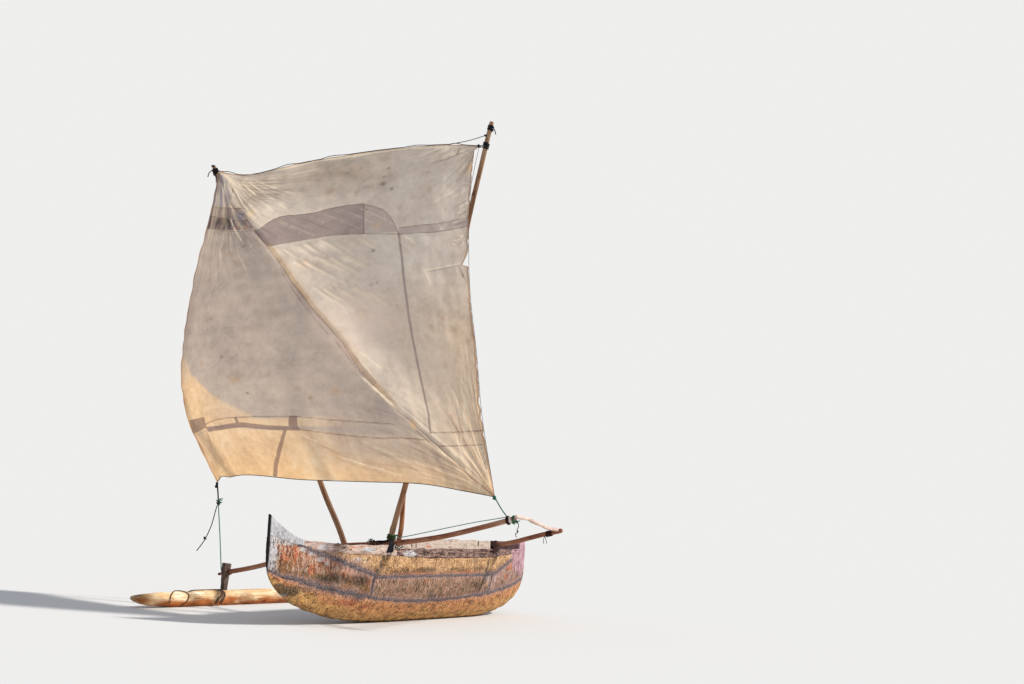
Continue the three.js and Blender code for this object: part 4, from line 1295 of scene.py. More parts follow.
def boards():
    for k, (name, x, z, width) in enumerate(THWARTS):
        cross_board(name, x, z, width, 110 + 2 * k)
    mast_step()
    stanchion("stanchion_fore", 0.735, 0.692, 0.516, 0.066, 0.116, 120)
    stanchion("stanchion_aft", -1.570, -1.606, 0.512, 0.066, 0.112, 124)


# Ropes

STRANDS = 3
TURN_POINTS = 12            # points of a coil to one turn
SLANTING_TURNS = 9


def rope_mesh(points, radius, step=None, lay=None, sides=9):
    """A twisted rope of three strands along a smooth curve."""
    path, _ = even(points, step or radius * 1.1)
    lay = lay or radius * 8

    def strands(s, angle):
        return 0.86 + 0.16 * np.abs(np.cos(STRANDS / 2 * (angle - 2 * math.pi * s / lay)))

    return tube(path, np.full(len(path), radius), sides, strands)


def ropes(name, material, radius, *paths, body="hull", **options):
    """Several ropes as one piece."""
    points, faces, grain = [], [], []
    start = 0
    for path in paths:
        p, f, g = rope_mesh(path, radius, **options)
        points.append(p)
        grain.append(g)
        faces += [[i + start for i in face] for face in f]
        start += len(p)
    return make(name, np.concatenate(points), faces, material, body, tidy=False, grain=np.concatenate(grain))


def coil(centre, axis, inner, turns, pitch, seed):
    """Turns of rope side by side round a pole."""
    rng = np.random.default_rng(seed)
    axis = np.asarray(axis, float) / np.linalg.norm(axis)
    side = np.cross(axis, (0.2, 0.1, 1.0))
    side /= np.linalg.norm(side)
    other = np.cross(axis, side)
    count = int(turns * TURN_POINTS) + 1
    angles = np.arange(count) * 2 * math.pi / TURN_POINTS
    drift = (np.arange(count) / TURN_POINTS - turns / 2) * pitch
    half_turns = np.arange(0, count + TURN_POINTS // 2, TURN_POINTS // 2)
    wobble = np.interp(np.arange(count), half_turns, rng.normal(0, 0.18, len(half_turns)))
    radius = inner * (1 + 0.04 * np.sin(angles * 0.37 + seed))
    return (np.asarray(centre)[None] + (drift + wobble * pitch)[:, None] * axis
            + (radius * np.cos(angles))[:, None] * side + (radius * np.sin(angles))[:, None] * other)


def knot(centre, size, turn=0.0):
    """An overhand knot, pulled tight."""
    t = np.linspace(0, 2 * math.pi, 15)
    x, y, z = np.sin(t) + 2 * np.sin(2 * t), np.cos(t) - 2 * np.cos(2 * t), -1.6 * np.sin(3 * t)
    shape = np.stack([x, y, z], 1) / 3
    for axis in "YX":
        shape = shape @ np.array(Matrix.Rotation(turn, 3, axis))
    return np.asarray(centre) + size * shape


def boom_way(end, y0, y1):
    """The boom's direction between two places across."""
    return boom_at(end, y1) - boom_at(end, y0)


def winding(end, y, way, gap, turns, pitch, seed):
    """Turns of rope round a boom, with a gap from the wood to the rope's middle."""
    return coil(boom_at(end, y), way, BOOM_R + gap, turns, pitch, seed)


def gunwale_lashing(end, y, seed):
    """Turns over the boom and through two holes in the strake below it."""
    side = math.copysign(1, y)
    x, _, z = boom_at(end, y)
    half = float(plan_half(x))
    outer, middle, inner = (side * (half - inset) for inset in (-0.006, PLANK / 2, PLANK + 0.006))
    hole_z = z - 0.125
    paths = []
    for k in range(5):
        shift = (k - 2) * 0.0075
        spread = 0.052 + 0.004 * k
        over = z + BOOM_R + 0.006 + 0.002 * (k % 2)
        paths.append(np.array([
            (x + spread, outer, hole_z - 0.004 * k), (x + 0.7 * spread, outer + side * 0.004, z - 0.055),
            (x + 0.55 * spread, outer, z + 0.004), (x + 0.2 * spread + shift, middle, over),
            (x - 0.5 * spread + shift, inner, z + 0.008), (x - 0.8 * spread, inner - side * 0.002, z - 0.06),
            (x - spread, inner, hole_z), (x - spread, outer, hole_z - 0.004 * k),
            (x - 0.7 * spread, outer + side * 0.005, z - 0.055),
            (x - 0.55 * spread, outer + side * 0.003, z + 0.004),
            (x - 0.2 * spread + shift, middle, over + 0.004), (x + 0.5 * spread + shift, inner, z + 0.008),
            (x + 0.8 * spread, inner, z - 0.06), (x + spread, inner, hole_z),
        ]))
    way = boom_way(end, y - 0.03, y + 0.03)
    return paths + [winding(end, y + side * 0.012, way, 0.0055, 5, 0.0105, seed)]


def slanting_lashing(end, inboard, holes, hole_z, rim, seed):
    """Turns round the boom that are drawn forward over the port rim and through holes in the strake."""
    rng = np.random.default_rng(seed)
    around = BOOM_R + 0.006
    paths = []
    for k in range(SLANTING_TURNS):
        share = k / (SLANTING_TURNS - 1)
        off = rng.uniform(-1, 1, 4)
        bx, by, bz = boom_at(end, inboard[0] + share * (inboard[1] - inboard[0]) + 0.004 * off[0])
        hx = holes[0] + share * (holes[1] - holes[0]) + 0.010 * off[1]
        hz = hole_z + 0.007 * off[2]
        run = bx - hx
        half = float(plan_half(hx))
        edge_x = hx + 0.3 * run
        edge = float(plan_half(edge_x))
        lift = 0.006 + 0.004 * (k % 3)
        paths.append(np.array([
            (hx, half - PLANK / 2, hz), (hx, half + lift, hz + 0.004),
            (hx + 0.15 * run, half + lift, rim - 0.020), (edge_x, edge + 0.002, rim + 0.006),
            (edge_x + 0.3 * (bx - edge_x), 0.6 * edge + 0.4 * by, rim + 0.3 * (bz - rim) + 0.022),
            (bx + 0.6 * around, by, bz + 0.85 * around), (bx, by, bz + around + 0.002 * off[3]),
            (bx - around, by, bz), (bx, by, bz - around), (bx + around, by, bz - 0.012),
            (hx + 0.3 * run, half - PLANK - 0.030, hz + 0.020), (hx, half - PLANK - 0.006, hz),
            (hx, half - PLANK / 2, hz - 0.002),
        ]))
    return paths


def tuft(centre, size, count, seed, up=(0, 0, 1)):
    """Loose ends that stand away from a knot."""
    rng = np.random.default_rng(seed)
    paths = []
    for _ in range(count):
        away = np.asarray(up) + rng.normal(0, 0.7, 3)
        away *= size * rng.uniform(0.6, 1.2) / np.linalg.norm(away)
        sag = rng.normal(0, 0.2 * size, 3)
        paths.append(np.array([centre, np.asarray(centre) + 0.5 * away + sag, np.asarray(centre) + away]))
    return paths


def grounded(path, radius):
    """Lifts what would lie in the ground."""
    world = to_world(path)
    lift = np.maximum(0, radius * 1.05 - world[:, 2])
    return np.asarray(path) + np.stack([0 * lift, lift * math.sin(HEEL), lift * math.cos(HEEL)], 1)


# The rope wrapped on the forward boom, as places across and rises over the boom's axis
BOOM_WRAP = [(0.015, 0.026), (0.050, 0.029), (0.090, 0.026), (0.135, 0.031), (0.180, 0.029), (0.235, 0.034)]
# The white rope on the rim beside it, as x and z
CURL = [(0.765, 0.660), (0.755, 0.690), (0.735, 0.712), (0.700, 0.702), (0.665, 0.692), (0.630, 0.702),
        (0.595, 0.714)]
BAND_R = 0.0048
BANDS = {
    # x, degrees above the port side; one row a rope
    "float_band_fore": [[(1.745, -30), (1.731, 19), (1.640, 60), (1.540, 88), (1.440, 55), (1.423, 31),
                         (1.450, 0), (1.504, -38), (1.520, -70)]],
    "float_band_aft": [[(1.375, 64), (1.260, 84), (1.150, 95), (1.020, 94), (0.920, 90), (0.860, 70),
                        (0.8425, 52), (0.870, 24), (0.935, -1), (0.960, -40)],
                       [(0.930, 104), (0.880, 84), (0.858, 66), (0.857, 50), (0.886, 22), (0.948, -3),
                        (0.972, -40)],
                       [(0.920, 104), (0.868, 84), (0.843, 66), (0.830, 50), (0.856, 22), (0.921, -3),
                        (0.948, -40)],
                       [(0.800, 130), (0.830, 85), (0.824, 50), (0.829, 22), (0.876, -2), (0.890, -45)],
                       [(0.790, 130), (0.818, 85), (0.812, 50), (0.815, 20), (0.850, -8), (0.860, -45)]],
}


def gunwale_ropes():
    # To port, the places on the boom, the holes, their height, the rim and the seed
    slanting = {"fore": ((0.254, 0.290), (0.850, 0.782), 0.652, 0.716, 130),
                "aft": ((0.155, 0.235), (-1.300, -1.415), 0.648, 0.678, 132)}
    # To starboard, the place on the boom and the seed
    upright = {"fore": (-0.352, 131), "aft": (-0.315, 133)}
    material = {"fore": "black_rope", "aft": "brown_rope"}
    for end, row in slanting.items():
        ropes(f"lashing_{end}_port", material[end], 0.0056, *slanting_lashing(end, *row))
    for end, row in upright.items():
        ropes(f"lashing_{end}_starboard", material[end], 0.0055, *gunwale_lashing(end, *row))


def boom_wrap():
    shifts = ((0, 0.004, 0, 0), (2, 0.015, 0.004, -0.006), (3, 0.018, 0.010, -0.014))
    lines = [[boom_at("fore", y) + (x, aside, rise + up) for y, rise in BOOM_WRAP[first:]]
             for first, x, aside, up in shifts]
    turns = winding("fore", 0.115, boom_way("fore", 0.04, 0.16), 0.0045, 5, 0.030, 143)
    spikes = tuft(boom_at("fore", 0.055) + (0.006, 0, 0.028), 0.030, 6, 145)
    tied = knot(boom_at("fore", 0.085) + (0.006, 0, 0.032), 0.010)
    ropes("boom_wrap", "black_rope", 0.0040, *lines, turns, tied, *spikes)


def rim_curl():
    curl = np.array([(x, float(plan_half(x)) + 0.012, z) for x, z in CURL])
    ropes("rim_curl", "white_rope", 0.0085, curl)
    wound = even(curl, 0.0035)[0]
    angles = np.arange(len(wound)) * 0.62
    wound = wound + 0.012 * np.stack([0.3 * np.sin(angles), np.cos(angles), np.sin(angles)], 1)
    ropes("rim_curl_turns", "black_rope", 0.0034, wound[12:])


def float_bands():
    radius = FLOAT_R + 0.0045
    for name, rows in BANDS.items():
        paths = []
        for row in rows:
            x, turn = spline(row)(np.linspace(0, 1, 40)).T
            turn = np.radians(turn)
            path = np.stack([x, FLOAT_Y + radius * np.cos(turn), FLOAT_Z + radius * np.sin(turn)], 1)
            paths.append(grounded(path, 0.005))
        ropes(name, "withy", BAND_R, *paths)


def lashings():
    gunwale_ropes()
    for k, end in enumerate(BOOM):
        y = FLOAT_Y + 0.040
        turns = winding(end, y, boom_way(end, y - 0.03, y + 0.03), 0.003, 3, 0.007, 140 + k)
        ropes(f"lashing_stanchion_{end}", "withy", 0.0032, turns)
    boom_wrap()
    rim_curl()
    float_bands()


# Sail: a patch between its four edges, with seams, patches and creases in the cloth

SAIL_EDGES = {
    "head": [(0.675, -1.731, 4.276), (0.800, -1.312, 4.196), (0.890, -0.796, 4.245), (0.930, -0.236, 4.297),
             (0.890, 0.371, 4.344), (0.770, 0.824, 4.369), (0.680, 1.075, 4.355)],
    "foot": [(0.950, -1.468, 1.271), (1.030, -1.167, 1.336), (1.120, -0.436, 1.296), (1.120, 0.210, 1.281),
             (1.020, 0.766, 1.265), (0.900, 1.107, 1.208), (0.800, 1.350, 1.163)],
    "starboard": [(0.950, -1.468, 1.271), (1.090, -1.718, 1.848), (1.140, -1.778, 2.269),
                  (1.090, -1.777, 2.746), (0.970, -1.757, 3.300), (0.820, -1.724, 3.798),
                  (0.675, -1.731, 4.276)],
    "port": [(0.800, 1.350, 1.163), (0.970, 1.296, 1.863), (1.000, 1.240, 2.459), (0.970, 1.155, 2.965),
             (0.890, 1.090, 3.464), (0.780, 1.046, 3.937), (0.680, 1.075, 4.355)],
}
EDGE = {name: spline(rows) for name, rows in SAIL_EDGES.items()}
CLOTH = (2.95, 3.20)           # width and height of the cloth
# Beside its starboard corner the foot is cut up: how far, most at s, to s, to t
TACK_RISE, TACK_PEAK, TACK_END, TACK_UP = 0.038, 0.036, 0.115, 0.06


def sail_base(s, t):
    """Points of the smooth sail, s from starboard to port, t from foot to head."""
    s, t = np.broadcast_arrays(np.atleast_1d(np.asarray(s, float)), np.atleast_1d(np.asarray(t, float)))
    s_, t_ = s[..., None], t[..., None]
    zero, one = np.zeros_like(s), np.ones_like(s)
    foot, head = EDGE["foot"], EDGE["head"]
    point = foot(s) * (1 - t_) + head(s) * t_ + EDGE["starboard"](t) * (1 - s_) + EDGE["port"](t) * s_
    point = point - (foot(zero) * (1 - s_) + foot(one) * s_) * (1 - t_)
    point = point - (head(zero) * (1 - s_) + head(one) * s_) * t_
    point[..., 0] += BELLY * np.sin(math.pi * s) * np.sin(math.pi * t)
    beside_tack = smooth(0, TACK_PEAK, s) * (1 - smooth(TACK_PEAK, TACK_END, s))
    point[..., 2] += TACK_RISE * (beside_tack * (1 - smooth(0, TACK_UP, t)))
    return point


# The strained line from the starboard corner of the head to the port corner of the foot, as s, t
DIAGONAL = [(0.0, 0.98), (0.108, 0.895), (0.192, 0.845), (0.252, 0.792), (0.332, 0.705), (0.39, 0.635),
            (0.48, 0.508), (0.54, 0.405), (0.565, 0.36), (0.595, 0.272), (0.665, 0.16), (0.748, 0.103),
            (0.878, 0.03), (1.0, 0.0)]
SEAMS = [
    # lines of stitching, as places s, t
    [(0.302, 0.79), (0.352, 0.798), (0.46, 0.79), (0.605, 0.795), (0.66, 0.77), (0.692, 0.74),
     (0.72, 0.69)],
    [(0.33, 0.705), (0.41, 0.702), (0.532, 0.698), (0.72, 0.684)],
    [(0.61, 0.788), (0.622, 0.692)],
    [(0.722, 0.703), (0.845, 0.714), (1.0, 0.742)],
    [(0.722, 0.682), (0.845, 0.687), (1.0, 0.713)],
    [(0.755, 0.118), (0.835, 0.125), (0.998, 0.138)],
    [(0.775, 0.09), (0.865, 0.098), (0.985, 0.108)],
    [(0.105, 0.14), (0.235, 0.152), (0.298, 0.158), (0.392, 0.155), (0.508, 0.143), (0.645, 0.13)],
    [(0.392, 0.122), (0.492, 0.11), (0.592, 0.10), (0.728, 0.10)],
    [(0.103, 0.135), (0.068, 0.07), (0.045, 0.012)],
    [(0.0, 0.11), (0.045, 0.045), (0.06, 0.0)],
    [(0.0, 0.875), (0.178, 0.878)],
    [(0.0, 0.842), (0.22, 0.825)],
    [(0.0, 0.800), (0.252, 0.785)],
    [(0.39, 0.622), (0.47, 0.498), (0.53, 0.395)],
]
# A seam of double cloth
UPRIGHT_SEAM = [(0.722, 0.685), (0.738, 0.61), (0.753, 0.48), (0.758, 0.368), (0.768, 0.21), (0.768, 0.16),
                (0.755, 0.118)]
PATCHES = [
    # double cloth, as outlines in s, t
    [(0.255, 0.777), (0.302, 0.79), (0.352, 0.798), (0.46, 0.79), (0.608, 0.795), (0.622, 0.692),
     (0.532, 0.698), (0.41, 0.702), (0.33, 0.705)],
    [(0.015, 0.165), (0.12, 0.16), (0.105, 0.132), (0.0, 0.128)],
    [(0.105, 0.133), (0.178, 0.130), (0.248, 0.139), (0.328, 0.135), (0.392, 0.128), (0.392, 0.119),
     (0.328, 0.123), (0.248, 0.126), (0.178, 0.118), (0.108, 0.119)],
    [(0.232, 0.153), (0.242, 0.153), (0.240, 0.135), (0.231, 0.135)],
    [(0.378, 0.156), (0.400, 0.156), (0.388, 0.126), (0.364, 0.126)],
    [(0.348, 0.122), (0.357, 0.122), (0.319, 0.075), (0.289, 0.036), (0.269, 0.0), (0.259, 0.0),
     (0.280, 0.038), (0.310, 0.077)],
]
THIN_PATCHES = [
    # double cloth that shows less, as outlines in s, t
    [(0.608, 0.795), (0.66, 0.77), (0.692, 0.74), (0.72, 0.69), (0.622, 0.692)],
    [(0.0, 0.875), (0.19, 0.878), (0.22, 0.825), (0.0, 0.842)],
    [(0.722, 0.703), (0.845, 0.714), (1.0, 0.742), (1.0, 0.713), (0.845, 0.687), (0.722, 0.682)],
    [(0.37, 0.658), (0.47, 0.528), (0.568, 0.362), (0.598, 0.300), (0.630, 0.240), (0.612, 0.226),
     (0.590, 0.263), (0.556, 0.348), (0.530, 0.400), (0.458, 0.520)],
]
# Cloth of another colour, and the part that light shines through, as outlines in s, t
PURPLE = [(0.0, 0.842), (0.22, 0.825), (0.255, 0.79), (0.0, 0.800)]
WHITE = [(0.0, 0.995), (0.020, 0.990), (0.103, 0.932), (0.103, 0.893), (0.018, 0.875), (0.0, 0.875)]
BLUE_GREY = [(0.135, 0.862), (0.195, 0.855), (0.212, 0.808), (0.16, 0.815)]
SUNLIT = [(-0.02, 0.40), (0.030, 0.388), (0.060, 0.365), (0.085, 0.32), (0.152, 0.268), (0.212, 0.202),
          (0.28, 0.162), (0.30, 0.135), (-0.02, 0.12)]
GREY_SPOTS = [
    # s, t, radius in metres
    (0.652, 0.922, 0.013), (0.645, 0.890, 0.012), (0.648, 0.862, 0.029), (0.678, 0.840, 0.020),
    (0.538, 0.925, 0.012), (0.618, 0.772, 0.011), (0.650, 0.635, 0.015), (0.650, 0.530, 0.014),
    (0.665, 0.535, 0.011), (0.23, 0.358, 0.016), (0.288, 0.23, 0.013), (0.452, 0.205, 0.012),
    (0.075, 0.832, 0.016), (0.100, 0.895, 0.012), (0.250, 0.718, 0.015),
]
RUST_SPOTS = [
    # s, t, radius in metres
    (0.872, 0.425, 0.030), (0.92, 0.39, 0.055), (0.265, 0.28, 0.050), (0.452, 0.205, 0.030),
    (0.16, 0.88, 0.02), (0.86, 0.29, 0.030), (0.33, 0.08, 0.040), (0.16, 0.345, 0.022), (0.20, 0.70, 0.030),
    (0.47, 0.62, 0.045), (0.46, 0.06, 0.06), (0.12, 0.62, 0.03), (0.975, 0.905, 0.05), (0.62, 0.45, 0.05),
    (0.52, 0.22, 0.04), (0.985, 0.625, 0.030), (0.075, 0.832, 0.020), (0.50, 0.86, 0.05),
    (0.03, 0.035, 0.05), (0.80, 0.83, 0.04),
]
# Small places that the light shines through, as s, t, radius in metres
GLOWS = [(0.222, 0.848, 0.045), (0.655, 0.716, 0.030), (0.972, 0.920, 0.040), (0.700, 0.132, 0.035),
         (0.18, 0.072, 0.05)]
SHADES = [
    # s, t, half width and half height in metres, strength: paler above 0, darker below 0
    (0.48, 0.93, 0.80, 0.30, -0.42), (0.20, 0.92, 0.26, 0.22, -0.36), (0.02, 0.50, 0.16, 0.70, -0.34),
    (0.63, 0.42, 0.42, 0.40, 0.52), (0.86, 0.27, 0.22, 0.36, 0.34), (0.10, 0.82, 0.30, 0.09, -0.55),
    (0.92, 0.05, 0.25, 0.15, 0.20), (0.42, 0.24, 0.40, 0.20, 0.12), (0.02, 0.25, 0.07, 0.40, -0.22),
    (0.45, 0.62, 0.20, 0.16, 0.20),
]
STROKES = [
    # first s, t, last s, t, half width in metres, strength: pale above 0, dark below 0
    (0.018, 0.985, 0.060, 0.930, 0.010, 0.9), (0.098, 0.952, 0.108, 0.930, 0.009, -1.0),
    (0.122, 0.850, 0.252, 0.722, 0.009, 0.8), (0.072, 0.990, 0.270, 0.802, 0.010, 0.7),
    (0.105, 0.995, 0.305, 0.790, 0.009, 0.5), (0.132, 0.995, 0.358, 0.795, 0.010, 0.8),
    (0.152, 0.998, 0.410, 0.792, 0.010, 0.8), (0.340, 0.795, 0.500, 0.700, 0.012, 0.55),
    (0.200, 0.9930, 0.940, 0.9930, 0.014, 1.0), (0.730, 0.958, 0.800, 0.992, 0.009, 0.6),
    (0.750, 0.955, 0.822, 0.995, 0.009, -0.45), (0.772, 0.952, 0.842, 0.995, 0.009, 0.6),
    (0.795, 0.950, 0.860, 0.995, 0.009, -0.4), (0.815, 0.948, 0.875, 0.992, 0.009, 0.5),
    (0.878, 0.955, 0.895, 0.990, 0.012, -0.7), (0.815, 0.779, 0.884, 0.816, 0.022, 0.5),
    (0.875, 0.805, 0.939, 0.8455, 0.014, 0.7), (0.939, 0.8455, 0.990, 0.853, 0.012, -0.5),
    (0.905, 0.800, 0.992, 0.842, 0.014, 0.6), (0.927, 0.772, 0.996, 0.801, 0.010, -0.5),
    (0.947, 0.770, 0.996, 0.790, 0.010, 0.7), (0.947, 0.742, 0.994, 0.764, 0.009, -0.6),
    (0.935, 0.750, 0.994, 0.776, 0.010, 0.7), (0.918, 0.720, 0.992, 0.742, 0.009, 0.8),
    (0.918, 0.711, 0.996, 0.730, 0.009, -0.6), (0.858, 0.699, 0.886, 0.702, 0.026, 0.5),
    (0.948, 0.660, 0.985, 0.690, 0.016, 0.7), (0.955, 0.640, 0.985, 0.660, 0.012, 0.6),
    (0.785, 0.566, 0.975, 0.594, 0.009, 0.9), (0.800, 0.562, 0.970, 0.588, 0.007, -0.6),
    (0.806, 0.576, 0.836, 0.526, 0.011, 1.0), (0.955, 0.588, 0.975, 0.548, 0.014, -0.7),
    (0.972, 0.560, 0.990, 0.530, 0.012, -0.6), (0.940, 0.580, 0.955, 0.545, 0.012, 0.5),
    (0.598, 0.335, 0.652, 0.272, 0.010, 0.7), (0.590, 0.320, 0.630, 0.240, 0.009, 0.7),
    (0.590, 0.262, 0.665, 0.160, 0.013, 0.9), (0.538, 0.388, 0.590, 0.265, 0.009, -0.6),
    (0.695, 0.125, 0.772, 0.078, 0.010, -0.7), (0.772, 0.078, 0.792, 0.065, 0.009, 0.7),
    (0.690, 0.200, 0.752, 0.122, 0.010, -0.3), (0.378, 0.113, 0.432, 0.086, 0.014, 0.6),
    (0.375, 0.108, 0.480, 0.060, 0.009, -0.6), (0.442, 0.065, 0.622, 0.010, 0.010, 0.6),
    (0.425, 0.060, 0.600, 0.008, 0.010, -0.35), (0.505, 0.105, 0.700, 0.004, 0.010, -0.45),
    (0.520, 0.108, 0.720, 0.004, 0.010, 0.45), (0.540, 0.098, 0.812, 0.004, 0.010, -0.4),
    (0.600, 0.103, 0.920, 0.005, 0.010, -0.4), (0.612, 0.108, 0.900, 0.010, 0.009, 0.4),
    (0.648, 0.100, 0.950, 0.005, 0.010, 0.4),
    (0.868, 0.245, 0.932, 0.132, 0.012, 1.0), (0.918, 0.230, 0.945, 0.152, 0.013, 1.0),
    (0.922, 0.262, 0.958, 0.205, 0.011, 1.0), (0.950, 0.272, 0.972, 0.215, 0.011, 1.0),
]
RAYS = [
    # line of starts s, t, s, t, line of ends s, t, s, t, how many, half width, strength, seed
    (0.062, 0.985, 0.165, 0.998, 0.235, 0.820, 0.520, 0.800, 18, 0.009, 0.75, 261),
    (0.200, 0.985, 0.240, 0.930, 0.560, 0.980, 0.520, 0.900, 10, 0.008, 0.50, 262),
    (0.010, 0.800, 0.240, 0.785, 0.020, 0.600, 0.420, 0.560, 15, 0.011, 0.50, 263),
    (0.005, 0.970, 0.060, 0.950, 0.000, 0.800, 0.200, 0.800, 9, 0.008, 0.50, 264),
    (0.270, 0.785, 0.580, 0.795, 0.400, 0.700, 0.750, 0.690, 14, 0.009, 0.62, 265),
    (0.870, 0.260, 0.985, 0.300, 0.945, 0.120, 0.995, 0.140, 13, 0.008, 0.60, 266),
    (0.900, 0.130, 0.985, 0.120, 0.975, 0.010, 0.996, 0.010, 8, 0.008, 0.60, 267),
    (0.350, 0.690, 0.640, 0.680, 0.500, 0.590, 0.760, 0.600, 16, 0.008, 0.55, 268),
    (0.473, 0.622, 0.598, 0.605, 0.575, 0.405, 0.678, 0.390, 12, 0.008, 0.50, 269),
    (0.520, 0.560, 0.640, 0.560, 0.575, 0.510, 0.690, 0.500, 9, 0.007, 0.55, 270),
]
FANS = [
    # corner s, t, first and last direction in degrees, how many, shortest, longest, height, seed
    (0.0, 1.0, -50, -8, 14, 0.5, 1.4, 0.0070, 201),
    (0.0, 1.0, -90, -54, 16, 0.5, 1.3, 0.0060, 202),
    (1.0, 0.0, 146, 176, 14, 0.5, 1.4, 0.0050, 203),
    (1.0, 0.0, 108, 146, 12, 0.3, 0.9, 0.0060, 207),
    (1.0, 0.0, 90, 110, 15, 0.4, 1.3, 0.0090, 204),
    (0.02, 0.0, 12, 100, 10, 0.25, 0.7, 0.0035, 205),
    (1.0, 1.0, 188, 262, 12, 0.3, 0.9, 0.0050, 206),
]
PULLS = [
    # corner s, t, first and last direction, fine folds a degree, how far they reach, strength
    (0.0, 1.0, -94, 4, 0.80, 1.70, 0.9),
    (1.0, 0.0, 140, 184, 0.75, 1.80, 0.9),
    (1.0, 0.0, 86, 146, 0.75, 1.15, 0.7),
    (0.0, 0.0, 5, 108, 0.50, 0.50, 0.6),
    (1.0, 1.0, 180, 268, 0.55, 0.80, 0.7),
]
PUCKERS = [
    # first s, t, last s, t, how many, run in metres, width, height, seed
    (0.36, 0.692, 0.74, 0.674, 15, (0.210, -0.200), 0.012, 0.0060, 241),
    (0.42, 0.640, 0.62, 0.625, 11, (0.330, -0.270), 0.013, 0.0080, 242),
    (0.48, 0.545, 0.64, 0.520, 10, (0.240, -0.230), 0.012, 0.0075, 243),
    (0.58, 0.470, 0.70, 0.430, 11, (0.060, -0.150), 0.011, 0.0060, 244),
    (0.06, 0.800, 0.24, 0.785, 9, (0.020, 0.130), 0.008, 0.0040, 245),
    (0.90, 0.840, 0.99, 0.905, 8, (-0.110, -0.060), 0.008, 0.0060, 246),
    (0.93, 0.640, 0.995, 0.700, 7, (-0.110, 0.010), 0.009, 0.0060, 247),
    (0.86, 0.060, 0.93, 0.230, 10, (-0.030, 0.260), 0.009, 0.0060, 248),
]


def cloth(places):
    return np.asarray(places, float) * CLOTH


def to_line(points, line, closed=False):
    """Distance from points to a broken line, in the plane of the cloth."""
    line = cloth(line)
    ends = np.roll(line, -1, 0) if closed else line[1:]
    best = np.full(len(points), 9.0)
    for a, b in zip(line, ends):
        run = b - a
        u = np.clip(((points - a) @ run) / (run @ run), 0, 1)
        best = np.minimum(best, np.linalg.norm(points - a - u[:, None] * run, axis=1))
    return best


def inside(points, outline):
    """Signed distance to an outline, above 0 inside it."""
    line = cloth(outline)
    within = np.zeros(len(points), bool)
    for (ax, ay), (bx, by) in zip(line, np.roll(line, -1, 0)):
        spans = (ay > points[:, 1]) != (by > points[:, 1])
        cut = ax + (points[:, 1] - ay) * (bx - ax) / (by - ay if by != ay else 1e-9)
        within ^= spans & (points[:, 0] < cut)
    return np.where(within, 1, -1) * to_line(points, outline, closed=True)


def beside(points, start, end):
    """How far points are along a line, from 0 to 1, and how far across it, in metres."""
    run = end - start
    off = points - start
    return off @ run / (run @ run), off @ np.array([-run[1], run[0]]) / np.linalg.norm(run)


def crease(points, start, end, width, height, fan=False):
    """A long fold of the cloth between two places, in metres, tapered at its ends."""
    u, across = beside(points, start, end)
    wide = width * (0.3 + 1.4 * np.clip(u, 0, 1)) if fan else width
    taper = smooth(0, 0.10, u) * (1 - smooth(0.45, 1.0, u))
    return height * taper * np.exp(-(across / wide) ** 2)


def creases(points):
    """All folds: fans from the corners and small puckers."""
    total = np.zeros(len(points))
    for s, t, first, last, count, short, long, height, seed in FANS:
        rng = np.random.default_rng(seed)
        apex = cloth([(s, t)])[0]
        for k in range(count):
            angle = math.radians(first + (last - first) * (k + rng.uniform(0.1, 0.9)) / count)
            way = np.array([math.cos(angle), math.sin(angle)])
            length = rng.uniform(short, long)
            begin = apex + rng.uniform(0.02, 0.16) * way
            end = begin + length * way
            width = rng.uniform(0.010, 0.021)
            rise = height * rng.uniform(0.5, 1.2) * (1 if rng.random() < 0.7 else -0.8)
            total += crease(points, begin, end, width, rise, fan=True)
    for s0, t0, s1, t1, count, run, width, rise, seed in PUCKERS:
        rng = np.random.default_rng(seed)
        for k in range(count):
            share = (k + rng.uniform(0.05, 0.95)) / count
            start = cloth([(s0 + (s1 - s0) * share, t0 + (t1 - t0) * share)])[0] + rng.uniform(-0.03, 0.03, 2)
            reach = np.array(run) * rng.uniform(0.55, 1.25) + rng.uniform(-0.02, 0.02, 2)
            wide, high = width * rng.uniform(0.8, 1.2), rise * rng.uniform(0.3, 1.1)
            total += crease(points, start, start + reach, wide, high)
    return total


def strokes(points):
    """Pale and dark single lines: painted highlights on lit folds and painted shade beside them, chafe and
    threads.
    """
    total = np.zeros(len(points))
    table = list(STROKES)
    for s0, t0, s1, t1, s2, t2, s3, t3, count, width, strength, seed in RAYS:
        rng = np.random.default_rng(seed)
        for k in range(count):
            u = (k + rng.uniform(0.1, 0.9)) / count
            cut = rng.uniform(0.45, 1.0)
            start = np.array([s0 + (s1 - s0) * u, t0 + (t1 - t0) * u])
            end = start + cut * (np.array([s2 + (s3 - s2) * u, t2 + (t3 - t2) * u]) - start)
            table.append((*start, *end, width, strength * rng.uniform(0.5, 1.0) * (1 if k % 2 else -0.8)))
    for s0, t0, s1, t1, width, strength in table:
        u, across = beside(points, *cloth([(s0, t0), (s1, t1)]))
        taper = smooth(-0.10, 0.25, u) * (1 - smooth(0.75, 1.10, u))
        total += strength * taper * np.exp(-(across / width) ** 2)
    return np.clip(total, -1, 1)


def shade(points):
    """Wide parts of the cloth that are paler, above 0, or darker."""
    total = np.zeros(len(points))
    for a, b, wide, high, strength in SHADES:
        gap = (points - cloth((a, b))) / (wide, high)
        total += strength * np.exp(-(gap ** 2).sum(1))
    return np.clip(total, -1, 1)


def swell(points):
    """Slow waves of the cloth, and the strained diagonal: a sharp ridge in a wide valley."""
    off = to_line(points, DIAGONAL)
    strain = 0.014 * np.exp(-(off / 0.020) ** 2) - 0.040 * np.exp(-(off / 0.20) ** 2)
    return strain + 0.006 * ripple(points, 0.55, 210) + 0.0018 * ripple(points, 0.17, 211)


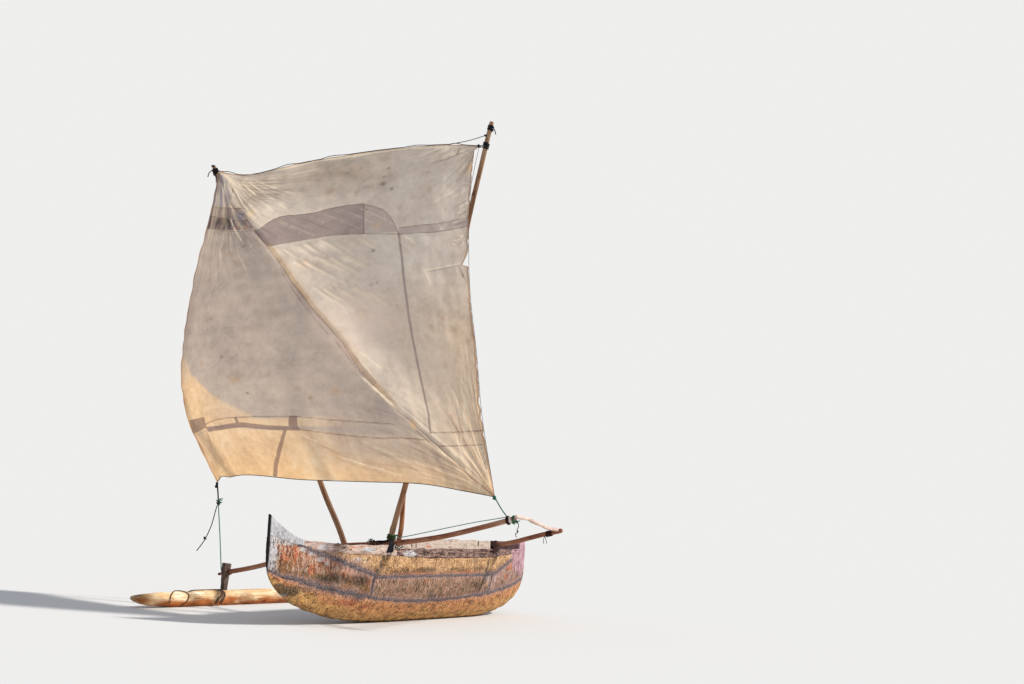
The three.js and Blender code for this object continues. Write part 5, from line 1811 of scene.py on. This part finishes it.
def pulls(points):
    """Direction and distance from the corner that strains each place, and how strongly."""
    fold = np.zeros((len(points), 3))
    weight = np.zeros(len(points))
    for k, (s, t, first, last, per_degree, reach, strength) in enumerate(PULLS):
        way = points - cloth([(s, t)])[0]
        middle = math.radians((first + last) / 2)
        apart = np.angle(np.exp(1j * (np.arctan2(way[:, 1], way[:, 0]) - middle)))
        angle = np.degrees(apart) + (first + last) / 2
        radius = np.linalg.norm(way, axis=1)
        here = smooth(0, 8, angle - first) * smooth(0, 8, last - angle)
        here = here * strength * (1 - smooth(0.25 * reach, reach, radius))
        better = here > weight
        fold[better] = np.stack([angle * per_degree, radius * 1.3, np.full(len(points), 7.0 * k)], 1)[better]
        weight = np.maximum(weight, here)
    return fold, weight


def sunlit(points):
    """Where light from behind makes the cloth glow: the lower part and along the diagonal."""
    a, b = (points / CLOTH).T
    arc = smooth(-0.022, 0.026, inside(points, SUNLIT)) * (1 - 0.50 * smooth(0.05, 0.28, a))
    arc = arc * (1 - 0.66 * smooth(0.24, 0.40, b)) * 0.82
    strip = 0.6 * smooth(0.126, 0.132, b) * (1 - smooth(0.148, 0.156, b))
    strip = strip * (a > 0.10) * (1 - smooth(0.30, 0.62, a))
    top = 0.128 - 0.016 * smooth(0.35, 0.60, a)
    foot = (1 - smooth(top - 0.008, top, b)) * (1 - 0.28 * smooth(0, 0.09, b))
    foot = foot * (1 - 0.30 * smooth(0.28, 0.62, a))
    foot = foot * (1 - 0.62 * smooth(0.36, 0.52, a) * smooth(0.015, 0.080, b))
    above = (b > np.interp(a, *np.array(DIAGONAL).T)) * smooth(0.30, 0.36, a) * (1 - smooth(0.62, 0.70, a))
    ridge = 0.85 * np.exp(-(to_line(points, DIAGONAL) / 0.036) ** 2) * above
    leech = 0.42 * smooth(0.62, 0.95, a) * (1 - smooth(0.3, 0.66, b))
    return np.max([arc, strip, foot, ridge, leech, 0.8 * spots(points, GLOWS)], axis=0)


SAIL_GRID = (292, 318)
PORT_STRIP = 0.1        # share of the width that draws back with the worn port edge


def ragged(points):
    """How far the cloth is worn back from its port edge: a torn bay, frayed bits, a narrow throat."""
    a, b = (points / CLOTH).T
    along = (b * CLOTH[1])[:, None]
    worn = 0.005 * np.maximum(0, ripple(along, 0.11, 215)) + 0.0025 * np.maximum(0, ripple(along, 0.03, 216))
    worn = worn * (b > 0.10) * (b < 0.95)
    bay = smooth(0.584, 0.588, b) * np.clip((0.632 - b) / 0.044, 0, 1) ** 1.2
    throat = np.clip((b - 0.86) / 0.12, 0, 1) * (1 - smooth(0.981, 0.997, b))
    small = np.exp(-((b - 0.205) / 0.010) ** 2) + 0.6 * np.exp(-((b - 0.170) / 0.006) ** 2)
    return (worn + 0.085 * bay + 0.062 * throat + 0.022 * small) * (a > 1 - PORT_STRIP)


def sail():
    across, up = SAIL_GRID
    s, t = np.meshgrid(np.linspace(0, 1, across + 1), np.linspace(0, 1, up + 1), indexing="ij")
    flat = np.stack([s.ravel(), t.ravel()], 1)
    worn = ragged(flat * CLOTH) / CLOTH[0]
    pulled = flat.copy()
    start = 1 - PORT_STRIP
    near = flat[:, 0] > start
    pulled[near, 0] = start + (flat[near, 0] - start) * (PORT_STRIP - worn[near]) / PORT_STRIP
    base = sail_base(pulled[:, 0], pulled[:, 1])
    points = cloth(pulled)
    grid = base.reshape(across + 1, up + 1, 3)
    normal = np.cross(np.gradient(grid, axis=0), np.gradient(grid, axis=1))
    normal /= np.linalg.norm(normal, axis=2, keepdims=True)
    if normal[across // 2, up // 2, 0] < 0:
        normal = -normal
    border = np.minimum(np.minimum(flat[:, 0], 1 - flat[:, 0]) * CLOTH[0],
                        np.minimum(flat[:, 1], 1 - flat[:, 1]) * CLOTH[1])
    folds = creases(points)
    rise = (folds + swell(points)) * smooth(-0.02, 0.07, border)
    rise += 0.003 * ripple(points, 0.20, 213) * np.exp(-border / 0.05) * smooth(0, 0.12, corner_gap(points))
    base = base + rise[:, None] * normal.reshape(-1, 3)
    seam = np.min([to_line(points, line) for line in SEAMS + [DIAGONAL[1:]]], axis=0)
    thin = [np.minimum(inside(points, outline), 0) for outline in THIN_PATCHES]
    double = np.max([inside(points, outline) for outline in PATCHES] + thin, axis=0)
    hem = np.minimum(np.minimum(flat[:, 0], 1 - flat[:, 0]) * CLOTH[0], 0.012 + (1 - flat[:, 1]) * CLOTH[1])
    fold, pull = pulls(points)
    above = np.sign(points[:, 1] - np.interp(points[:, 0], *cloth(DIAGONAL).T))
    fields = {
        "grain": np.stack([points[:, 0], points[:, 1], 0 * points[:, 0]], 1),
        "seam": seam,
        "double": np.maximum(double, 0.011 - to_line(points, UPRIGHT_SEAM)),
        "purple": inside(points, PURPLE),
        "white": np.maximum(inside(points, WHITE), inside(points, BLUE_GREY)),
        "sunlit": sunlit(points),
        # Which side of the strained diagonal a place lies on, for the painted shade of the lower half
        "upper": above * to_line(points, DIAGONAL),
        "hem": hem,
        "stroke": strokes(points),
        "shade": shade(points),
        "ridge": folds * 100,
        "fold": fold,
        "pull": pull,
        "grey": spots(points, GREY_SPOTS),
        "rust": spots(points, RUST_SPOTS),
    }
    i, j = np.meshgrid(np.arange(across), np.arange(up), indexing="ij")
    a = i * (up + 1) + j
    faces = np.stack([a, a + up + 1, a + up + 2, a + 1], -1).reshape(-1, 4).tolist()
    piece = make("sail", base, faces, "sail", None, tidy=False, **fields)
    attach(piece, "rig")


def spots(points, table):
    return np.max([np.exp(-((points - cloth((a, b))) ** 2).sum(1) / r ** 2) for a, b, r in table], axis=0)


def corner_gap(points):
    corners = cloth([(0, 0), (1, 0), (0, 1), (1, 1)])
    return np.min([np.linalg.norm(points - c, axis=1) for c in corners], axis=0)


def sail_at(s, t):
    return sail_base(s, t)[0]


def bolt_rope():
    """Dark cord sewn along the head, the foot and the port edge."""
    t = np.linspace(0, 1, 60)
    head = sail_base(t, np.ones(60)) + (0.004, 0, 0.002)
    frayed = np.maximum(0, ripple(t[:, None], 0.16, 218))
    head[:, 2] += 0.007 * frayed * smooth(0, 0.05, t) * smooth(0, 0.05, 1 - t)
    foot = sail_base(t, np.zeros(60)) + (0.004, 0, -0.002)
    leech = sail_base(np.ones(60), t) + (0.0, 0.002, 0)
    ropes("bolt_rope_head", "black_rope", 0.0034, head, body="rig", lay=0.03, step=0.008, sides=8)
    ropes("bolt_rope_foot", "brown_rope", 0.0034, foot, body="rig", lay=0.03, step=0.008, sides=8)
    ropes("bolt_rope_port", "brown_rope", 0.002, leech, body="rig", lay=0.02, step=0.01, sides=7)


SHEET_R, TAIL_R = 0.0055, 0.0045
BOARD_EDGE = np.array([0.757, FLOAT_Y - 0.018, 0.440])
KNOT = np.array([0.905, -1.476, 1.075])
TAIL = [KNOT, (0.903, -1.496, 1.034), (0.918, -1.540, 0.860), (0.945, -1.600, 0.716),
              (0.980, -1.654, 0.625)]
TAIL_KNOT = (0.940, -1.590, 0.740)
BOOM_LINE = [(0.420, 0.052), (0.667, 0.066), (0.930, 0.069), (1.150, 0.060), (1.290, 0.047), (1.410, 0.036)]
BOOM_END_TAIL = [(1.540, 0.935), (1.546, 0.900), (1.532, 0.872), (1.537, 0.845), (1.517, 0.838),
                 (1.527, 0.805)]
AFT_ENDS = [[(0.768, 0.812), (0.756, 0.775), (0.762, 0.736)], [(0.772, 0.812), (0.785, 0.772),
             (0.792, 0.741)]]


def across_at(x, rows):
    """A rope's points at one x, from places across and heights."""
    return [(x, y, z) for y, z in rows]


def halfway(a, b, *shift):
    return (np.asarray(a) + b) / 2 + shift


def sheets():
    """The taut ropes from the sail's lower corners."""
    tack, clew = sail_at(0, 0), sail_at(1, 0)
    boom_tie = boom_at("fore", 1.440)
    from_knot, from_boom = KNOT + (0.01, 0, 0.03), boom_tie + (0, 0, 0.03)
    rows = [
        # name, material, radius, route, and the start and end of its part near the rig
        ("sheet_starboard", "line_rope", SHEET_R,
         [BOARD_EDGE, halfway(BOARD_EDGE, KNOT, 0, 0.003, -0.003), KNOT], from_knot, tack),
        ("sheet_head", "black_rope", 0.0072, [KNOT, halfway(KNOT, tack, 0, 0.003, 0), tack], from_knot, tack),
        ("sheet_port", "green_rope", SHEET_R,
         [boom_tie + (0, 0, BOOM_R), halfway(boom_tie, clew, 0, 0, 0), clew], from_boom, clew),
    ]
    for name, material, radius, route, start, end in rows:
        sheet = ropes(name, material, radius, route, body=None, step=0.009, lay=0.05, sides=8)
        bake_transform(sheet)


def loose_end():
    """The starboard sheet's end, which hangs free."""
    path, along = even(TAIL, 0.006)
    points, faces, grain = tube(path, np.full(len(path), TAIL_R), 8)
    tail = make("sheet_tail", points, faces, "black_rope", tidy=False, grain=grain)
    knots = ropes("tail_knots", "black_rope", 0.0045, knot(KNOT, 0.018, 0.4), knot(TAIL_KNOT, 0.014, 1.1),
                  *tuft(TAIL_KNOT, 0.024, 2, 219, (0, -1, 0.6)))


def corner_knots():
    tack, clew = sail_at(0, 0), sail_at(1, 0)
    ropes("sheet_tuft", "green_rope", 0.0042, *tuft(KNOT + (0, 0.008, 0.006), 0.045, 6, 220, (0, 1, 0.5)),
          knot(KNOT + (0.004, 0.016, 0.008), 0.013))
    ropes("tack_knots", "black_rope", 0.0045, knot(tack + (0.0, -0.004, -0.045), 0.015, 0.2),
          coil(tack + (0, 0, -0.02), (0, 0.1, 1), 0.009, 4, 0.008, 221), body="rig")
    ropes("board_knot", "withy", 0.0042,
          coil(BOARD_EDGE + (-0.02, 0.018, -0.01), (0, 0, 1), 0.024, 2, 0.010, 222),
          knot((0.757, -1.541, 0.409), 0.010, 0.8))
    ropes("clew_knot", "green_rope", 0.0045, coil(clew + (0, 0, -0.012), (0, 0.2, 1), 0.012, 4, 0.008, 223),
          body="rig")


def boom_ropes():
    """Windings, knots and loose ends at the booms' port ends, and the line laid along the forward boom."""
    x = BOOM_X["fore"]
    way = boom_way("fore", 1.41, 1.47)
    ropes("boom_end_ball", "brown_rope", 0.0052, winding("fore", 1.441, way, 0.005, 3, 0.010, 224),
          winding("fore", 1.441, way, 0.013, 2, 0.011, 225))
    ropes("boom_end_ring", "white_rope", 0.0055, winding("fore", 1.471, way, 0.006, 2.5, 0.009, 226))
    ropes("boom_end_knots", "green_rope", 0.0046, knot((x, 1.496, 0.931), 0.014, 0.5),
          knot((x, 1.525, 0.940), 0.013, 1.3), winding("fore", 1.502, way, 0.004, 2, 0.012, 227),
          *tuft((x, 1.530, 0.940), 0.030, 3, 228, (0, 0.4, -1)))
    ropes("boom_end_tail", "black_rope", 0.0036, across_at(x, BOOM_END_TAIL),
          knot((x, 1.537, 0.858), 0.008, 0.5))
    line = [boom_at("fore", y) + (0, 0, rise) for y, rise in BOOM_LINE]
    ropes("boom_line", "line_rope", 0.0042, [(x + 0.005, 0.330, 0.780), *line])
    ropes("boom_aft_winding", "brown_rope", 0.0045,
          winding("aft", 0.808, boom_way("aft", 0.77, 0.84), 0.004, 7, 0.0095, 229))
    x = BOOM_X["aft"] + 0.02
    ropes("boom_aft_tail", "black_rope", 0.0030, *[across_at(x, rows) for rows in AFT_ENDS])


def head_lashings():
    rows = [
        # name, spar, height, sail corner, seed
        ("lashing_head_starboard", "spar_starboard", 4.276, (0, 1), 225),
        ("lashing_head_port", "spar_port", 4.360, (1, 1), 226),
    ]
    for name, spar, z, corner, seed in rows:
        path, _ = even(SPARS[spar], 0.004)
        centre = path[np.abs(path[:, 2] - z).argmin()]
        point = sail_at(*corner)
        tie = [centre + (0.02, 0, 0.01), halfway(centre, point, 0, 0, 0.006), point]
        back = [centre + (-0.02, 0, -0.01), halfway(centre, point, 0, 0, -0.008), point + (0, 0, -0.012)]
        turns = coil(centre, path[-1] - path[-20], SPAR_TIP + 0.0055, 6, 0.0095, seed)
        ropes(name, "black_rope", 0.0045, turns, tie, back, knot(point + (0.004, 0, 0), 0.014, 0.9),
              knot(centre + (0.026, 0, 0.02), 0.014, 0.3), body="rig")


# Loose ends at the spars' tips, from the tip
STARBOARD_ENDS = [[(0.01, -0.01, -0.03), (0.02, -0.04, -0.06), (0.02, -0.055, -0.10)],
                  [(0.02, 0.02, -0.05), (0.03, 0.045, -0.11), (0.03, 0.05, -0.16)]]
PORT_END = [(0.01, 0.02, -0.02), (0.02, 0.045, -0.05), (0.02, 0.06, -0.095)]
WRAP_AT, WRAP_WAY = np.array([FOOT_X, 0.229, 0.768]), (0, 0.127, 0.468)


def small_rigging():
    """Loose ends and extra turns at the spars' tips and feet."""
    on_head, on_spar = sail_at(0.84, 1.0), np.array([FOOT_X + 0.028, 1.136, 4.452])
    line = spline([on_head + (0.006, 0, 0.004), halfway(on_head, on_spar, 0, 0, -0.006), on_spar])
    ropes("head_line", "black_rope", 0.0035, line(np.linspace(0, 1, 12)), knot(on_spar, 0.014), body="rig")
    tip = np.array(SPARS["spar_starboard"][-1])
    ropes("starboard_tip_ends", "black_rope", 0.0045, *(tip + np.array(STARBOARD_ENDS)),
          knot(tip + (0.01, 0, 0.004), 0.018), body="rig")
    tip, last = np.array(SPARS["spar_port"][-2:])
    ropes("port_tip_lashing", "black_rope", 0.0045,
          coil(tip - (0, 0.004, 0.03), last - tip, SPAR_TIP + 0.0055, 5, 0.010, 231),
          knot(tip + (0.02, 0.02, -0.02), 0.016), tip + np.array(PORT_END), body="rig")
    ropes("spar_wrap", "olive_rope", 0.0048, coil(WRAP_AT, WRAP_WAY, 0.033, 8, 0.0098, 232),
          coil(WRAP_AT + (0, 0.003, 0.012), WRAP_WAY, 0.041, 3, 0.014, 233), body="rig")
    side = WRAP_AT + (0.035, 0.040, 0.024)
    ropes("spar_wrap_ends", "green_rope", 0.0042, *tuft(side, 0.035, 5, 234, (0.2, 1, 0.3)),
          knot(side, 0.014), body="rig")


# Stage

SUN_TOWARDS = (-0.47, 0.62, 0.62)
SUN_POWER = 3.9
SUN_WIDTH = math.radians(6)
SUN_COLOUR = (1.0, 0.965, 0.91)
SKY = (0.46, 0.50, 0.57)
FLOOR_COLOUR = (0.70, 0.69, 0.67)
FLOOR_HALF = 220.0


def stage():
    mesh = bpy.data.meshes.new("floor")
    h = FLOOR_HALF
    mesh.from_pydata([(-h, -h, 0), (h, -h, 0), (h, h, 0), (-h, h, 0)], [], [(0, 1, 2, 3)])
    floor = bpy.data.objects.new("floor", mesh)
    scene.collection.objects.link(floor)
    look = Look("floor_paper", roughness=0.95, specular=0.0)
    look.colour = (*FLOOR_COLOUR, 1)
    mesh.materials.append(look.finish())
    towards = Vector(SUN_TOWARDS).normalized()
    data = bpy.data.lights.new("key", "SUN")
    data.energy = SUN_POWER
    data.angle = SUN_WIDTH
    data.color = SUN_COLOUR
    key = bpy.data.objects.new("key", data)
    key.rotation_euler = towards.to_track_quat("Z", "Y").to_euler()
    scene.collection.objects.link(key)
    world = bpy.data.worlds.new("soft_light")
    world.use_nodes = True
    tree = world.node_tree
    light = tree.nodes["Background"]
    light.inputs[0].default_value = (*SKY, 1)
    seen = tree.nodes.new("ShaderNodeBackground")
    level_floor = [albedo * (SUN_POWER * c * towards.z / math.pi + sky)
                   for albedo, c, sky in zip(FLOOR_COLOUR, data.color, SKY)]
    seen.inputs[0].default_value = (*level_floor, 1)
    rays = tree.nodes.new("ShaderNodeLightPath")
    choose = tree.nodes.new("ShaderNodeMixShader")
    tree.links.new(rays.outputs["Is Camera Ray"], choose.inputs[0])
    tree.links.new(light.outputs[0], choose.inputs[1])
    tree.links.new(seen.outputs[0], choose.inputs[2])
    tree.links.new(choose.outputs[0], tree.nodes["World Output"].inputs["Surface"])
    scene.world = world
    scene.view_settings.view_transform = "Standard"


sheets()
loose_end()
corner_knots()
boom_ropes()
planking()
seams()
poles()
float_log()
boards()
lashings()
sail()
bolt_rope()
head_lashings()
small_rigging()
stage()
